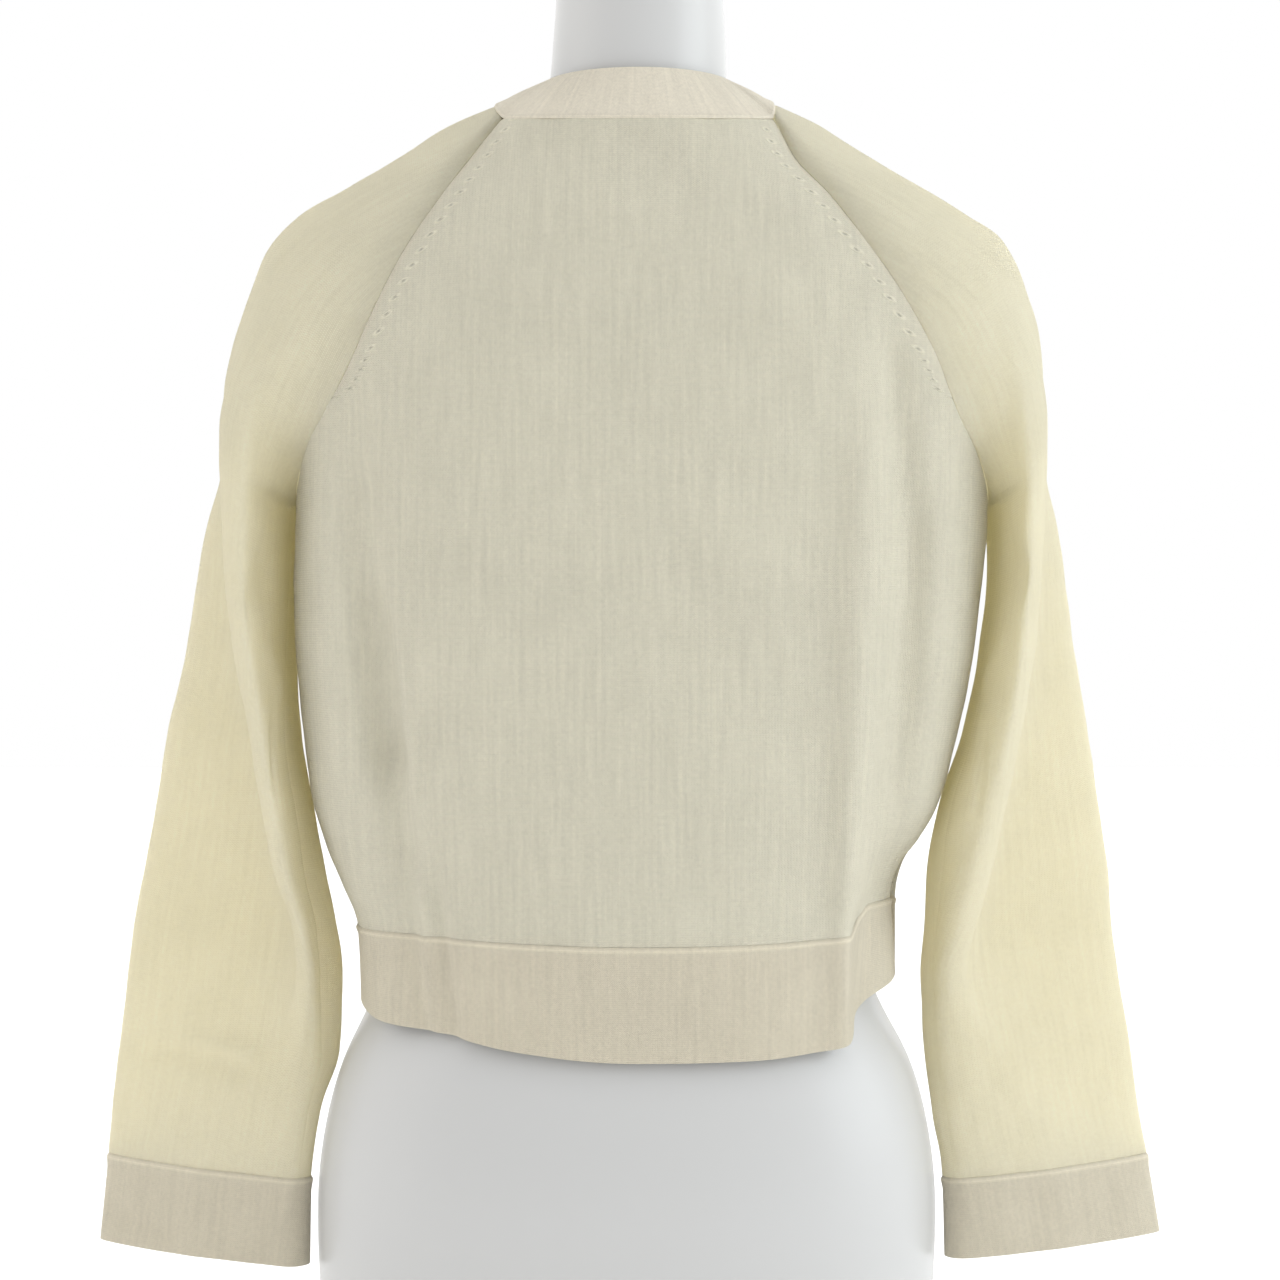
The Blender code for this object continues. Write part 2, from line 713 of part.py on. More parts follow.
def build_cloth():
    body_centre = np.array([0.0, 0.0, 350.0])
    grids = {
        "back_panel": back_grid(),
        "front_panel_left": front_grid(-1),
        "front_panel_right": front_grid(1),
    }
    sleeves = {"left": (-1, LEFT_SLEEVE), "right": (1, RIGHT_SLEEVE)}
    sleeve_grids = {name: sleeve_grid(*how) for name, how in sleeves.items()}
    cuffs = {name: cuff_grid(*how) for name, how in sleeves.items()}
    hems = {
        "hem_band_back": hem_grid(back_turns()),
        "hem_band_front_left": hem_grid(front_turns(HEM_SEAM_Z, -1)),
        "hem_band_front_right": hem_grid(front_turns(HEM_SEAM_Z, 1)),
    }
    neck_line = np.vstack([
        grids["front_panel_left"][-1],
        sleeve_grids["left"][0][::-1][1:],
        grids["back_panel"][-1][1:],
        sleeve_grids["right"][0][1:],
        grids["front_panel_right"][-1][::-1][1:],
    ])
    shapes = {name: facing_out(panel(grid), body_centre) for name, grid in {**grids, **hems}.items()}
    shapes["neckband"] = facing_out(panel(neckband_grid(neck_line)), np.array([0.0, 0.0, 600.0]))
    for name, (side, table) in sleeves.items():
        middle = np.array([side * 215.0, 0.0, 250.0])
        shapes["sleeve_" + name] = facing_out(panel(sleeve_grids[name], RAGLAN_ROWS), middle)
        low = np.array([side * 222.0, 0.0, 80.0])
        shapes["cuff_" + name] = facing_out(panel(cuffs[name], 0), low)
    normals = shared_normals(shapes.values())
    for name, shape in shapes.items():
        banded = name.startswith(("hem", "cuff", "neck"))
        wall = BAND_WALL if banded else PANEL_WALL
        finish = "sleeve_knit" if name.startswith("sleeve") else "back_knit"
        if banded:
            finish = "band_knit"
        add_object(name, wall_mesh(name, shape, normals, wall, SEAM_PULL), finish)
    edges = (hems["hem_band_front_right"][:, 0], grids["front_panel_right"][:, 0],
             neckband_grid(neck_line)[:, -1])
    return sorted({round(float(point[2]), 1) for edge in edges for point in edge})


def build_button_bands(heights):
    half = BAND_WIDTH / 2
    over = LAP_GAP + BAND_WALL
    strips = {
        "button_band_left": button_band_grid(-half + BAND_EASE, half - BAND_EASE, 0.0, heights),
        "button_band_right": button_band_grid(-half, half + BAND_LAP, over, heights),
    }
    for name, grid in strips.items():
        shape = facing_out(panel(grid), np.array([0.0, 0.0, 400.0]))
        normals = shared_normals([shape])
        add_object(name, wall_mesh(name, shape, normals, BAND_WALL, SEAM_PULL), "band_knit")


def button_mesh(name, centre, normal):
    """A turned disc with a raised rim round a dished middle."""
    up = np.array([0.0, 0.0, 1.0])
    side_way = np.cross(up, normal)
    side_way /= np.linalg.norm(side_way)
    other_way = np.cross(normal, side_way)
    profile = (
        (0.86, 0.0), (1.0, 0.35), (0.98, 0.8), (0.84, 1.0), (0.62, 0.78),
    )
    rings = []
    for reach, height in profile:
        ring = []
        for k in range(BUTTON_SIDES):
            angle = 2 * pi * k / BUTTON_SIDES
            around = side_way * cos(angle) + other_way * sin(angle)
            ring.append(centre + around * reach * BUTTON_RADIUS + normal * height * BUTTON_THICKNESS)
        rings.append(ring)
    count = BUTTON_SIDES
    faces = [tuple(range(count))[::-1]]
    for i in range(len(profile) - 1):
        for k in range(count):
            after = (k + 1) % count
            faces.append((i * count + k, i * count + after, (i + 1) * count + after, (i + 1) * count + k))
    faces.append(tuple((len(profile) - 1) * count + k for k in range(count)))
    mesh = bpy.data.meshes.new(name)
    mesh.from_pydata((np.array(rings).reshape(-1, 3) * MM).tolist(), [], faces)
    mesh.validate()
    mesh.shade_smooth()
    mesh.set_sharp_from_angle(angle=pi / 4)
    return mesh


def build_buttons():
    base = LAP_GAP + BAND_WALL + BUTTON_GAP
    for k in range(BUTTON_COUNT):
        z = BUTTON_LOWEST_Z + (BUTTON_HIGHEST_Z - BUTTON_LOWEST_Z) * k / (BUTTON_COUNT - 1)
        normal = line_normal(z)
        centre = front_line(z, 0.0) + normal * base
        name = f"button_{k + 1}"
        add_object(name, button_mesh(name, centre, normal), "button_pearl")


def build_form():
    """Smooth armless torso with a flat base and a flat neck top."""
    points = []
    for row in FORM_SECTIONS:
        for k in range(FORM_COLUMNS):
            angle = 2 * pi * k / FORM_COLUMNS
            power = 2 / row.square
            depth = row.back if cos(angle) > 0 else row.front
            x = row.centre + row.half * np.sign(sin(angle)) * abs(sin(angle)) ** power
            y = -depth * np.sign(cos(angle)) * abs(cos(angle)) ** power
            points.append((x, y, row.z))
    count = FORM_COLUMNS
    faces = [tuple(range(count))[::-1]]
    for i in range(len(FORM_SECTIONS) - 1):
        for k in range(count):
            after = (k + 1) % count
            faces.append((i * count + k, i * count + after, (i + 1) * count + after, (i + 1) * count + k))
    faces.append(tuple((len(FORM_SECTIONS) - 1) * count + k for k in range(count)))
    mesh = bpy.data.meshes.new("dress_form")
    mesh.from_pydata((np.array(points) * MM).tolist(), [], faces)
    mesh.validate()
    mesh.shade_smooth()
    mesh.set_sharp_from_angle(angle=pi / 3)
    add_object("dress_form", mesh, "form_gloss")


def main():
    for old in list(bpy.data.objects):
        bpy.data.objects.remove(old, do_unlink=True)
    build_form()
    opening_heights = build_cloth()
    build_button_bands(opening_heights)
    build_buttons()


main()
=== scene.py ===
# Cropped raglan cardigan on an armless dress form: cloth, buttons, finishes and light.
# The tables repeat the sizes of the part's source, in millimetres, and everything here is
# worked out from them on finer grids. The back faces -Y and -X is the wearer's left.
from math import pi

import bpy
import numpy as np
from mathutils import Matrix, Vector


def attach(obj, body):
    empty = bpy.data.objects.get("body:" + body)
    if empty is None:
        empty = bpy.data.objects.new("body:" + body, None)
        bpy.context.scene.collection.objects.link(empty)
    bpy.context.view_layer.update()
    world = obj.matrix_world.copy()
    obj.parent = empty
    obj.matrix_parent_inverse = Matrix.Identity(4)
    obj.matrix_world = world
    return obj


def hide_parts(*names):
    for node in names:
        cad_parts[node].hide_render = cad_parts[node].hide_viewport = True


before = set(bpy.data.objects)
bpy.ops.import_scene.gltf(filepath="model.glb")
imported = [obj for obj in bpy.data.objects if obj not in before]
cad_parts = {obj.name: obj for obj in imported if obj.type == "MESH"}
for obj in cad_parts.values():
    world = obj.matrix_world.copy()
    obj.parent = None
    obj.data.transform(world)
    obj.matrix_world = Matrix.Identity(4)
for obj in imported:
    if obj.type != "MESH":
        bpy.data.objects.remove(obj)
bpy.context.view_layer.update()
mm = 0.001


class Table:  # rows of sizes, read as smooth curves down the first column

    def __init__(self, names, rows):
        self.names = names.split()
        self.rows = np.array(sorted(rows), float)
        self.slopes = {}

    def slope(self, column):
        places, values = self.rows[:, 0], self.rows[:, column]
        steps = np.diff(places)
        rises = np.diff(values) / steps
        slopes = np.zeros(len(places))
        for i in range(1, len(places) - 1):
            before, after = rises[i - 1], rises[i]
            if before * after > 0:  # level at each turn, so that the curve never overshoots
                w1, w2 = 2 * steps[i] + steps[i - 1], steps[i] + 2 * steps[i - 1]
                slopes[i] = (w1 + w2) / (w1 / before + w2 / after)
        slopes[0], slopes[-1] = rises[0], rises[-1]
        return slopes

    def read(self, name, at):
        column = self.names.index(name)
        if column not in self.slopes:
            self.slopes[column] = self.slope(column)
        places, values, slopes = self.rows[:, 0], self.rows[:, column], self.slopes[column]
        at = np.clip(np.asarray(at, float), places[0], places[-1])
        i = np.clip(np.searchsorted(places, at, side="right") - 1, 0, len(places) - 2)
        step = places[i + 1] - places[i]
        t = (at - places[i]) / step
        return (
            values[i] * (1 + 2 * t) * (1 - t) ** 2
            + slopes[i] * step * t * (1 - t) ** 2
            + values[i + 1] * t * t * (3 - 2 * t)
            + slopes[i + 1] * step * t * t * (t - 1)
        )


def ease(share):
    share = np.clip(share, 0, 1)
    return share * share * (3 - 2 * share)


def hump(distance, width):  # a soft ridge across a line
    return np.exp(-((distance / width) ** 2))


garment = {  # heights above the form's base, then the button bands
    "underarm": 447.0,
    "hemSeam": 229.0,
    "hemEdge": 172.0,
    "hemTiltFades": 300.0,
    "neckBack": 638.0,
    "neckRaglan": 643.0,
    "neckFrontRaglan": 622.0,
    "neckFront": 575.0,
    "neckScoop": 1.8,
    "bandTop": 603.0,
    "bandWidth": 28.0,
    "bandLap": 2.5,
    "bandEase": 0.4,
    "bandOver": 2.8,  # from the lower band's face to the upper one's
}

bodySections = Table("z left right back front square", [
    (643, 86, 84, 66, 40, 2.2),
    (622, 118, 114, 73, 49, 2.2),
    (600, 150, 146, 82, 60, 2.3),
    (575, 171, 168, 90, 75, 2.4),
    (550, 179, 177, 97, 90, 2.5),
    (520, 182, 182, 103, 104, 2.5),
    (490, 181, 182, 107, 113, 2.5),
    (447, 178.5, 181, 109, 117, 2.5),
    (410, 180, 178, 109, 115, 2.5),
    (375, 179, 174, 108, 111, 2.5),
    (345, 177, 169, 106, 107, 2.4),
    (320, 174, 163, 104, 104, 2.4),
    (297, 171, 157, 102, 101, 2.4),
    (270, 163, 147, 100, 98, 2.3),
    (250, 155, 138, 98, 96, 2.3),
    (229, 146, 134, 97, 94, 2.3),
    (200, 145, 134, 97, 93, 2.4),
    (172, 145, 134, 97, 93, 2.4),
])

backRaglan = Table("z left right", [
    (643, 70, 68),
    (620, 86, 78),
    (600, 99, 95),
    (575, 115, 113),
    (550, 128, 130),
    (520, 142, 147),
    (490, 158, 160),
    (470, 170, 172),
    (447, 178.5, 181),
])
frontRaglan = Table("z left right", [
    (622, 58, 58),
    (590, 80, 80),
    (550, 110, 110),
    (510, 138, 139),
    (475, 163, 164),
    (447, 178.5, 181),
])

shoulderRidge = Table("down left leftZ right rightZ y", [
    (0.00, 76, 657, 70, 658, -5),
    (0.10, 99, 647, 92, 648, -5),
    (0.20, 125, 631, 117, 632, -5),
    (0.32, 154, 614, 145, 616, -4),
    (0.44, 179, 600, 171, 601, -2),
    (0.54, 192, 585, 188, 589, 0),
    (0.66, 199, 559, 199, 561, 3),
    (0.78, 206, 531, 207, 535, 6),
    (0.90, 213, 501, 210, 503, 9),
    (1.00, 218, 470, 212, 472, 12),
])

# round each hanging sleeve: underarm seam, roll, its rim, the valley behind it, outer
# edge, front face and inner edge, as distances from the middle plane and depths
sleeveNames = (
    "z tilt seam seamY roll rollY rim rimY valley valleyY "
    "outer outerY face faceY inner innerY")
leftSleeve = Table(sleeveNames, [
    (447, 23, 179.3, 0, 195, -64, 211, -52, 217, -12, 219, 14, 203, 68, 184, 36),
    (420, 14, 182, -10, 196, -63, 210.5, -51, 214, -8, 231, 16, 208, 66, 185, 32),
    (375, 4, 183, -16, 194, -60, 206, -49, 211, -5, 240, 17, 212, 60, 184, 24),
    (330, 0, 182, -31, 189, -54, 198, -45, 203, -3, 251, 17, 214, 52, 180, 14),
    (288, 0, 176, -28, 183, -47, 192, -39, 198, -2, 257.5, 16, 214, 43, 172, 6),
    (255, 0, 172, -25, 178, -41, 186, -34, 194, -2, 263, 14, 214, 37, 166, 4),
    (230, 0, 167, -22, 172, -34, 178, -29, 190, -4, 267.5, 11, 214, 32, 160.5, 2),
    (205, 0, 165, -20, 169, -27, 176, -24, 190, -10, 270, 8, 214, 26, 157, 1),
    (164, 2, 165, -16, 174, -20, 186, -17, 205, -13, 274, 5, 213, 26, 158.7, 0),
    (133, 5, 171, -23, 182, -26, 200, -22, 220, -17, 277, 3, 211, 24, 168, -11),
    (101, 8, 175, -26, 190, -27, 210, -24, 235, -19, 279, 2, 210, 21, 171.5, -13),
    (56, 8, 177, -28, 195, -28, 215, -25, 240, -20, 283, 1, 210, 20, 172, -14),
])
rightSleeve = Table(sleeveNames, [
    (447, 25, 181.8, 0, 193, -63, 205, -51, 210, -12, 212, 14, 200, 68, 187, 36),
    (420, 14, 184, -10, 193, -62, 203.5, -50, 208, -8, 222, 16, 203, 66, 187, 32),
    (375, 4, 179, -16, 190, -58, 200, -48, 205, -5, 230, 17, 204, 60, 182, 24),
    (330, 0, 171, -26, 183, -52, 193, -44, 199, -3, 238, 17, 204, 52, 172, 15),
    (288, 0, 159, -26, 173, -45, 185, -38, 192, -2, 244, 16, 202, 43, 158, 8),
    (255, 0, 155, -24, 166, -40, 178.5, -33, 186, -2, 248.5, 14, 201, 37, 152, 5),
    (230, 0, 153, -21, 161, -34, 172, -28, 182, -4, 249.5, 11, 201, 32, 151, 3),
    (205, 0, 151.5, -19, 157, -27, 166, -24, 181, -10, 252, 8, 202, 26, 149, 1),
    (164, 2, 154, -16, 166, -20, 180, -17, 197, -13, 258, 5, 201, 26, 150.5, 0),
    (133, 5, 158, -22, 171, -25, 188, -22, 206, -17, 261, 3, 199, 24, 153.5, -10),
    (101, 8, 162, -25, 178, -27, 196, -24, 220, -19, 266, 2, 198, 21, 158, -13),
    (60, 8, 163, -27, 184, -28, 202, -25, 226, -20, 272.5, 1, 198, 20, 159, -14),
])
ringShares = np.array([0.0, 0.16, 0.27, 0.40, 0.56, 0.76, 0.92, 1.0])
outerShare = 0.56
headRound = 0.9  # 1 gives the sleeve's head a round section, less a squarer one
foldStarts = 0.45  # down the head, where the cloth starts to hang instead of lying
seamPullShare = 0.22  # how far round the ring the raglan seams hold the cloth
cuffSeam = {-1: 101.0, 1: 101.0}
cuffEdge = {-1: 56.0, 1: 60.0}

hemLine = Table("turn seamZ edgeZ", [
    (-180, 235, 192),
    (-130, 232, 193),
    (-90, 231, 193),
    (-60, 231.5, 187),
    (-40, 231, 184),
    (-20, 229.5, 176.5),
    (0, 228.5, 172),
    (20, 229, 172.5),
    (40, 230.5, 176),
    (46, 231.5, 178),
    (53, 240, 189),
    (61, 244.5, 197),
    (74, 244.5, 202.5),
    (90, 243.6, 206),
    (130, 238, 199),
    (180, 235, 192),
])

neckEdge = Table("turn reach z", [
    (0, 55, 667),
    (45, 53, 667.5),
    (90, 50.5, 668),
    (120, 53, 657),
    (150, 57, 632),
    (163, 59, 603),
    (180, 59, 603),
])
neckCentre = np.array([-1.0, 3.0])
neckSwell = 1.2

# folds of the body: top and low z, the line's x at the top, middle and low end, its depth
# at the same three places, and its width
backFolds = [
    (530, 160, -146, -130, -101, 0.0, -5.0, -3.0, 9),
    (520, 160, -165, -150, -125, 0.0, 3.0, 3.0, 13),
    (560, 160, 120, 136, 115, 0.0, -5.0, -7.0, 12),
    (500, 160, 113, 106, 99, 0.0, 3.0, 6.0, 10),
    (400, 250, -40, 10, 50, 0.0, 1.6, 0.0, 24),
]
frontFolds = [
    (520, 160, -120, -112, -96, 0.0, -4.0, -2.0, 12),
    (520, 160, -85, -80, -70, 0.0, 3.0, 3.0, 16),
    (500, 160, 118, 108, 92, 0.0, -4.0, -4.0, 12),
    (480, 160, 76, 72, 66, 0.0, 3.0, 3.0, 16),
]


def foldHeight(folds, x, z):
    total = np.zeros_like(x)
    for fold in folds:
        topZ, lowZ, topX, middleX, lowX, topDepth, middleDepth, lowDepth, width = fold
        run = Table("z x depth", [
            (topZ, topX, topDepth),
            ((topZ + lowZ) / 2, middleX, middleDepth),
            (lowZ, lowX, lowDepth),
        ])
        within = (z > lowZ) & (z < topZ)
        total += np.where(within, run.read("depth", z) * hump(x - run.read("x", z), width), 0)
    return total


def bodyPoint(z, turn):  # turn is 0 at the centre back and +-180 at the centre front
    z, turn = np.broadcast_arrays(np.asarray(z, float), np.asarray(turn, float))
    side = np.where(turn >= 0, 1, -1)
    half = np.where(side > 0, bodySections.read("right", z), bodySections.read("left", z))
    front = np.abs(turn) > 90
    depth = np.where(front, bodySections.read("front", z), bodySections.read("back", z))
    power = 2 / bodySections.read("square", z)
    angle = np.radians(np.abs(turn))
    x = side * half * np.abs(np.sin(angle)) ** power
    y = depth * np.abs(np.cos(angle)) ** power * np.where(front, 1, -1)
    height = np.where(front, foldHeight(frontFolds, x, z), foldHeight(backFolds, x, z))
    outX, outY = x / half ** 2, y / depth ** 2
    length = np.maximum(np.hypot(outX, outY), 1e-9)
    return np.stack([x + outX / length * height, y + outY / length * height, z], axis=-1)


def turnAt(z, x, front):  # the turn of the level section at z that stands x from the middle
    x = np.asarray(x, float)
    half = np.where(x > 0, bodySections.read("right", z), bodySections.read("left", z))
    power = bodySections.read("square", z) / 2
    turn = np.degrees(np.arcsin(np.minimum(np.abs(x) / half, 1) ** power))
    if front:
        turn = 180 - turn
    return np.where(x > 0, turn, -turn)


def hemDrop(z, turn):  # the lowest rows follow the hem's seam, the high ones are level
    share = ease((garment["hemTiltFades"] - z) / (garment["hemTiltFades"] - garment["hemSeam"]))
    return z + (hemLine.read("seamZ", turn) - garment["hemSeam"]) * share


def sideName(side):
    return "right" if side > 0 else "left"


def raglanX(z, side, front):
    return side * (frontRaglan if front else backRaglan).read(sideName(side), z)


def raglanPoint(down, side, front):  # down is 0 at the neck and 1 at the underarm
    top = garment["neckFrontRaglan"] if front else garment["neckRaglan"]
    z = top + (garment["underarm"] - top) * np.asarray(down, float)
    return bodyPoint(z, turnAt(z, raglanX(z, side, front), front))


mesh = {
    "cell": 3.6,
    "edgeRows": (0.0, 0.7, 1.5, 2.6),  # extra rows beside a seam or a free edge
    "underarmRows": (0.25, 0.9, 2.0),  # extra rows where the raglan seam runs almost level
    "clear": 1.5,  # the first even row stands this many times further in than the last extra one
    # lengths of cloth, which set how many cells a grid has
    "backAcross": 560,
    "frontAcross": 230,
    "bodyRise": 218,
    "backRaglan": 212,
    "backRaglanHeight": 196,
    "frontRaglan": 190,
    "frontRaglanHeight": 175,
    "sleeveRound": 340,
    "sleeveHead": 205,
    "sleeveHang": 346,
    "cuffDepth": 45,
    "hemDepth": 57,
    "neckDepth": 30,
}


def spread(length, first=True, last=True):  # shares along a length, closer at its ends
    count = max(int(round(length / mesh["cell"])), 4)
    near = np.array(mesh["edgeRows"]) / length
    inner = np.linspace(0, 1, count + 1)
    low = inner[inner > near[-1] * mesh["clear"]] if first else inner
    inner = low[low < 1 - near[-1] * mesh["clear"]] if last else low
    parts = ([near] if first else []) + [inner] + ([1 - near[::-1]] if last else [])
    return np.concatenate(parts)


def upward(length, height):  # from 1 just above the underarm to 0 at the neck
    rows = np.array(mesh["underarmRows"]) / height
    return 1 - np.concatenate([rows, spread(length, first=False)[1:]])[:, None]


def backGrid():
    across = spread(mesh["backAcross"])
    rise = spread(mesh["bodyRise"], last=False)
    z = garment["hemSeam"] + (garment["underarm"] - garment["hemSeam"]) * rise[:, None]
    turn = -90 + 180 * across[None, :]
    low = bodyPoint(z, turn)
    low[..., 2] = hemDrop(z, turn)
    down = upward(mesh["backRaglan"], mesh["backRaglanHeight"])
    z = garment["neckRaglan"] + (garment["underarm"] - garment["neckRaglan"]) * down
    first = turnAt(z, raglanX(z, -1, False), False)
    last = turnAt(z, raglanX(z, 1, False), False)
    turn = first + (last - first) * across[None, :]
    dip = (garment["neckRaglan"] - garment["neckBack"]) * ease(1 - down)
    level = z - dip * (1 - (2 * across[None, :] - 1) ** 2)
    return np.concatenate([low, bodyPoint(level, turn)])


def frontGrid(side):
    across = spread(mesh["frontAcross"])
    rise = spread(mesh["bodyRise"], last=False)
    z = garment["hemSeam"] + (garment["underarm"] - garment["hemSeam"]) * rise[:, None]
    opening = side * garment["bandWidth"] / 2
    first = turnAt(z, opening, True)
    turn = first + (side * 90 - first) * across[None, :]
    low = bodyPoint(z, turn)
    low[..., 2] = hemDrop(z, turn)
    down = upward(mesh["frontRaglan"], mesh["frontRaglanHeight"])
    top = garment["neckFrontRaglan"]
    endZ = top + (garment["underarm"] - top) * down
    last = turnAt(endZ, raglanX(endZ, side, True), True)
    centreZ = garment["neckFront"] + (garment["underarm"] - garment["neckFront"]) * down
    z = centreZ + (endZ - centreZ) * across[None, :] ** garment["neckScoop"]
    first = turnAt(z, opening, True)
    turn = first + (last - first) * across[None, :]
    return np.concatenate([low, bodyPoint(z, turn)])


def headPoint(down, share, side):  # from the back raglan seam over the ridge to the front one
    down, share = np.broadcast_arrays(down, share)
    name = sideName(side)
    back, front = raglanPoint(down, side, False), raglanPoint(down, side, True)
    ridge = np.stack([
        side * shoulderRidge.read(name, down),
        shoulderRidge.read("y", down),
        shoulderRidge.read(name + "Z", down),
    ], axis=-1)
    behind = share <= outerShare
    start = np.where(behind[..., None], back, front)
    angle = np.where(behind, share / outerShare, (1 - share) / (1 - outerShare)) * pi / 2
    across = np.abs(np.sin(angle)) ** headRound
    along = 1 - np.abs(np.cos(angle)) ** headRound
    weights = np.stack([across, along, (across + along) / 2], axis=-1)
    return start + (ridge - start) * weights


def ringPoints(table, z, side):
    z = np.asarray(z, float)
    tilt, seam, outer = (table.read(name, z) for name in ("tilt", "seam", "outer"))
    points = []
    for name in ("seam", "roll", "rim", "valley", "outer", "face", "inner", "seam"):
        x = table.read(name, z)
        lift = tilt * (x - seam) / (outer - seam)
        points.append(np.stack([side * x, table.read(name + "Y", z), z + lift], axis=-1))
    return np.stack(points, axis=-2)


def ringWeights(shares):  # how much each of the ring's points gives to a place on the curve
    count = len(ringShares)
    tangents = np.zeros((count, count))
    for k in range(1, count - 1):
        span = ringShares[k + 1] - ringShares[k - 1]
        tangents[k, k + 1], tangents[k, k - 1] = 1 / span, -1 / span
    span = (ringShares[1] - ringShares[0]) + (ringShares[-1] - ringShares[-2])
    for k in (0, count - 1):
        tangents[k, 1], tangents[k, -2] = 1 / span, -1 / span
    weights = np.zeros((len(shares), count))
    for row, share in enumerate(shares):
        i = min(max(int(np.searchsorted(ringShares, share, side="right")) - 1, 0), count - 2)
        step = ringShares[i + 1] - ringShares[i]
        t = (share - ringShares[i]) / step
        weights[row, i] += (1 + 2 * t) * (1 - t) ** 2
        weights[row, i + 1] += t * t * (3 - 2 * t)
        weights[row] += (
            tangents[i] * step * t * (1 - t) ** 2 + tangents[i + 1] * step * t * t * (t - 1))
    return weights


def sleeveGrid(side, table):
    shares = spread(mesh["sleeveRound"])
    head = spread(mesh["sleeveHead"], last=False)[:-1][:, None]
    plain = headPoint(head, shares[None, :], side)
    ring = ringPoints(table, garment["underarm"], side)
    hung = np.broadcast_to(ringWeights(shares) @ ring, plain.shape).copy()
    hung[..., 2] += plain[..., 2] - headPoint(np.array(1.0), shares, side)[..., 2]
    for end, held in ((0.0, 1 - shares / seamPullShare), (1.0, 1 - (1 - shares) / seamPullShare)):
        pull = (headPoint(head, np.array(end), side) - ring[0])[..., :2]
        hung[..., :2] += pull * (np.maximum(held, 0) ** 2)[None, :, None]
    drape = ease((head - foldStarts) / (1 - foldStarts))[..., None]
    high = plain + (hung - plain) * drape
    high[:, 0], high[:, -1] = plain[:, 0], plain[:, -1]
    run = spread(mesh["sleeveHang"], first=False)
    z = garment["underarm"] + (cuffSeam[side] - garment["underarm"]) * run
    low = np.einsum("sk,rkc->rsc", ringWeights(shares), ringPoints(table, z, side))
    return np.concatenate([high, low]), shares, len(head)


def cuffGrid(side, table):
    shares = spread(mesh["sleeveRound"])
    z = cuffSeam[side] + (cuffEdge[side] - cuffSeam[side]) * spread(mesh["cuffDepth"])
    return np.einsum("sk,rkc->rsc", ringWeights(shares), ringPoints(table, z, side)), shares


def hemGrid(turns):
    share = spread(mesh["hemDepth"])[:, None]
    level = garment["hemSeam"] + (garment["hemEdge"] - garment["hemSeam"]) * share
    points = bodyPoint(level, turns[None, :])
    seamZ, edgeZ = hemLine.read("seamZ", turns), hemLine.read("edgeZ", turns)
    points[..., 2] = seamZ[None, :] + (edgeZ - seamZ)[None, :] * share
    return points


def frontTurns(side):
    first = turnAt(garment["hemSeam"], side * garment["bandWidth"] / 2, True)
    return first + (side * 90 - first) * spread(mesh["frontAcross"])


def neckTop(points):  # where the neckband's upper edge stands over its lower edge
    away = points[..., :2] - neckCentre
    turn = np.degrees(np.arctan2(np.abs(away[..., 0]), -away[..., 1]))
    reach = neckEdge.read("reach", turn)
    plan = neckCentre + away / np.hypot(away[..., 0], away[..., 1])[..., None] * reach[..., None]
    half = garment["bandWidth"] / 2
    narrow = (points[..., 1] > 0) & (np.abs(plan[..., 0]) < half)
    plan[..., 0] = np.where(narrow, np.sign(points[..., 0]) * half, plan[..., 0])
    return np.concatenate([plan, neckEdge.read("z", turn)[..., None]], axis=-1)


def evenly(line, cell):  # the same line with points at even steps along it
    steps = np.linalg.norm(np.diff(line, axis=0), axis=1)
    along = np.concatenate([[0], np.cumsum(steps)])
    keep = np.concatenate([[True], steps > 1e-6])
    places = np.linspace(0, along[-1], int(along[-1] / cell) + 1)
    return np.stack([np.interp(places, along[keep], line[keep, k]) for k in range(3)], axis=-1)


def neckbandGrid(lower):
    share = spread(mesh["neckDepth"])[:, None]
    swell = neckSwell * ease((np.abs(lower[:, 0]) - garment["bandWidth"]) / garment["bandWidth"])
    points = lower[None] + (neckTop(lower) - lower)[None] * share[..., None]
    points[..., 2] += swell[None, :] * np.sin(pi * share)
    return points


def frontLine(z, x):  # outer face along the front opening, up to the top of the neckband
    level = np.minimum(z, garment["neckFront"])
    foot = bodyPoint(level, turnAt(level, x, True))
    top = neckTop(foot)
    share = np.clip((z - garment["neckFront"]) / (top[..., 2] - garment["neckFront"]), 0, 1)
    y = foot[..., 1] + (top[..., 1] - foot[..., 1]) * share
    return np.stack(np.broadcast_arrays(x, y, z), axis=-1)


def lineNormal(z):  # out of the front's middle line, from its slope over 4 mm
    middle = np.full_like(z, 0.5)
    step = frontLine(z + 2, middle) - frontLine(z - 2, middle)
    normal = np.stack([np.zeros_like(z), step[..., 2], -step[..., 1]], axis=-1)
    return normal / np.linalg.norm(normal, axis=-1, keepdims=True)


def bandGrid(leftX, rightX, outward):
    bottom = float(hemLine.read("edgeZ", 180.0))
    top = garment["bandTop"]
    z = bottom + (top - bottom) * spread(top - bottom)
    x = leftX + (rightX - leftX) * spread(rightX - leftX)
    points = frontLine(z[:, None], x[None, :])
    return points + lineNormal(z)[:, None, :] * outward


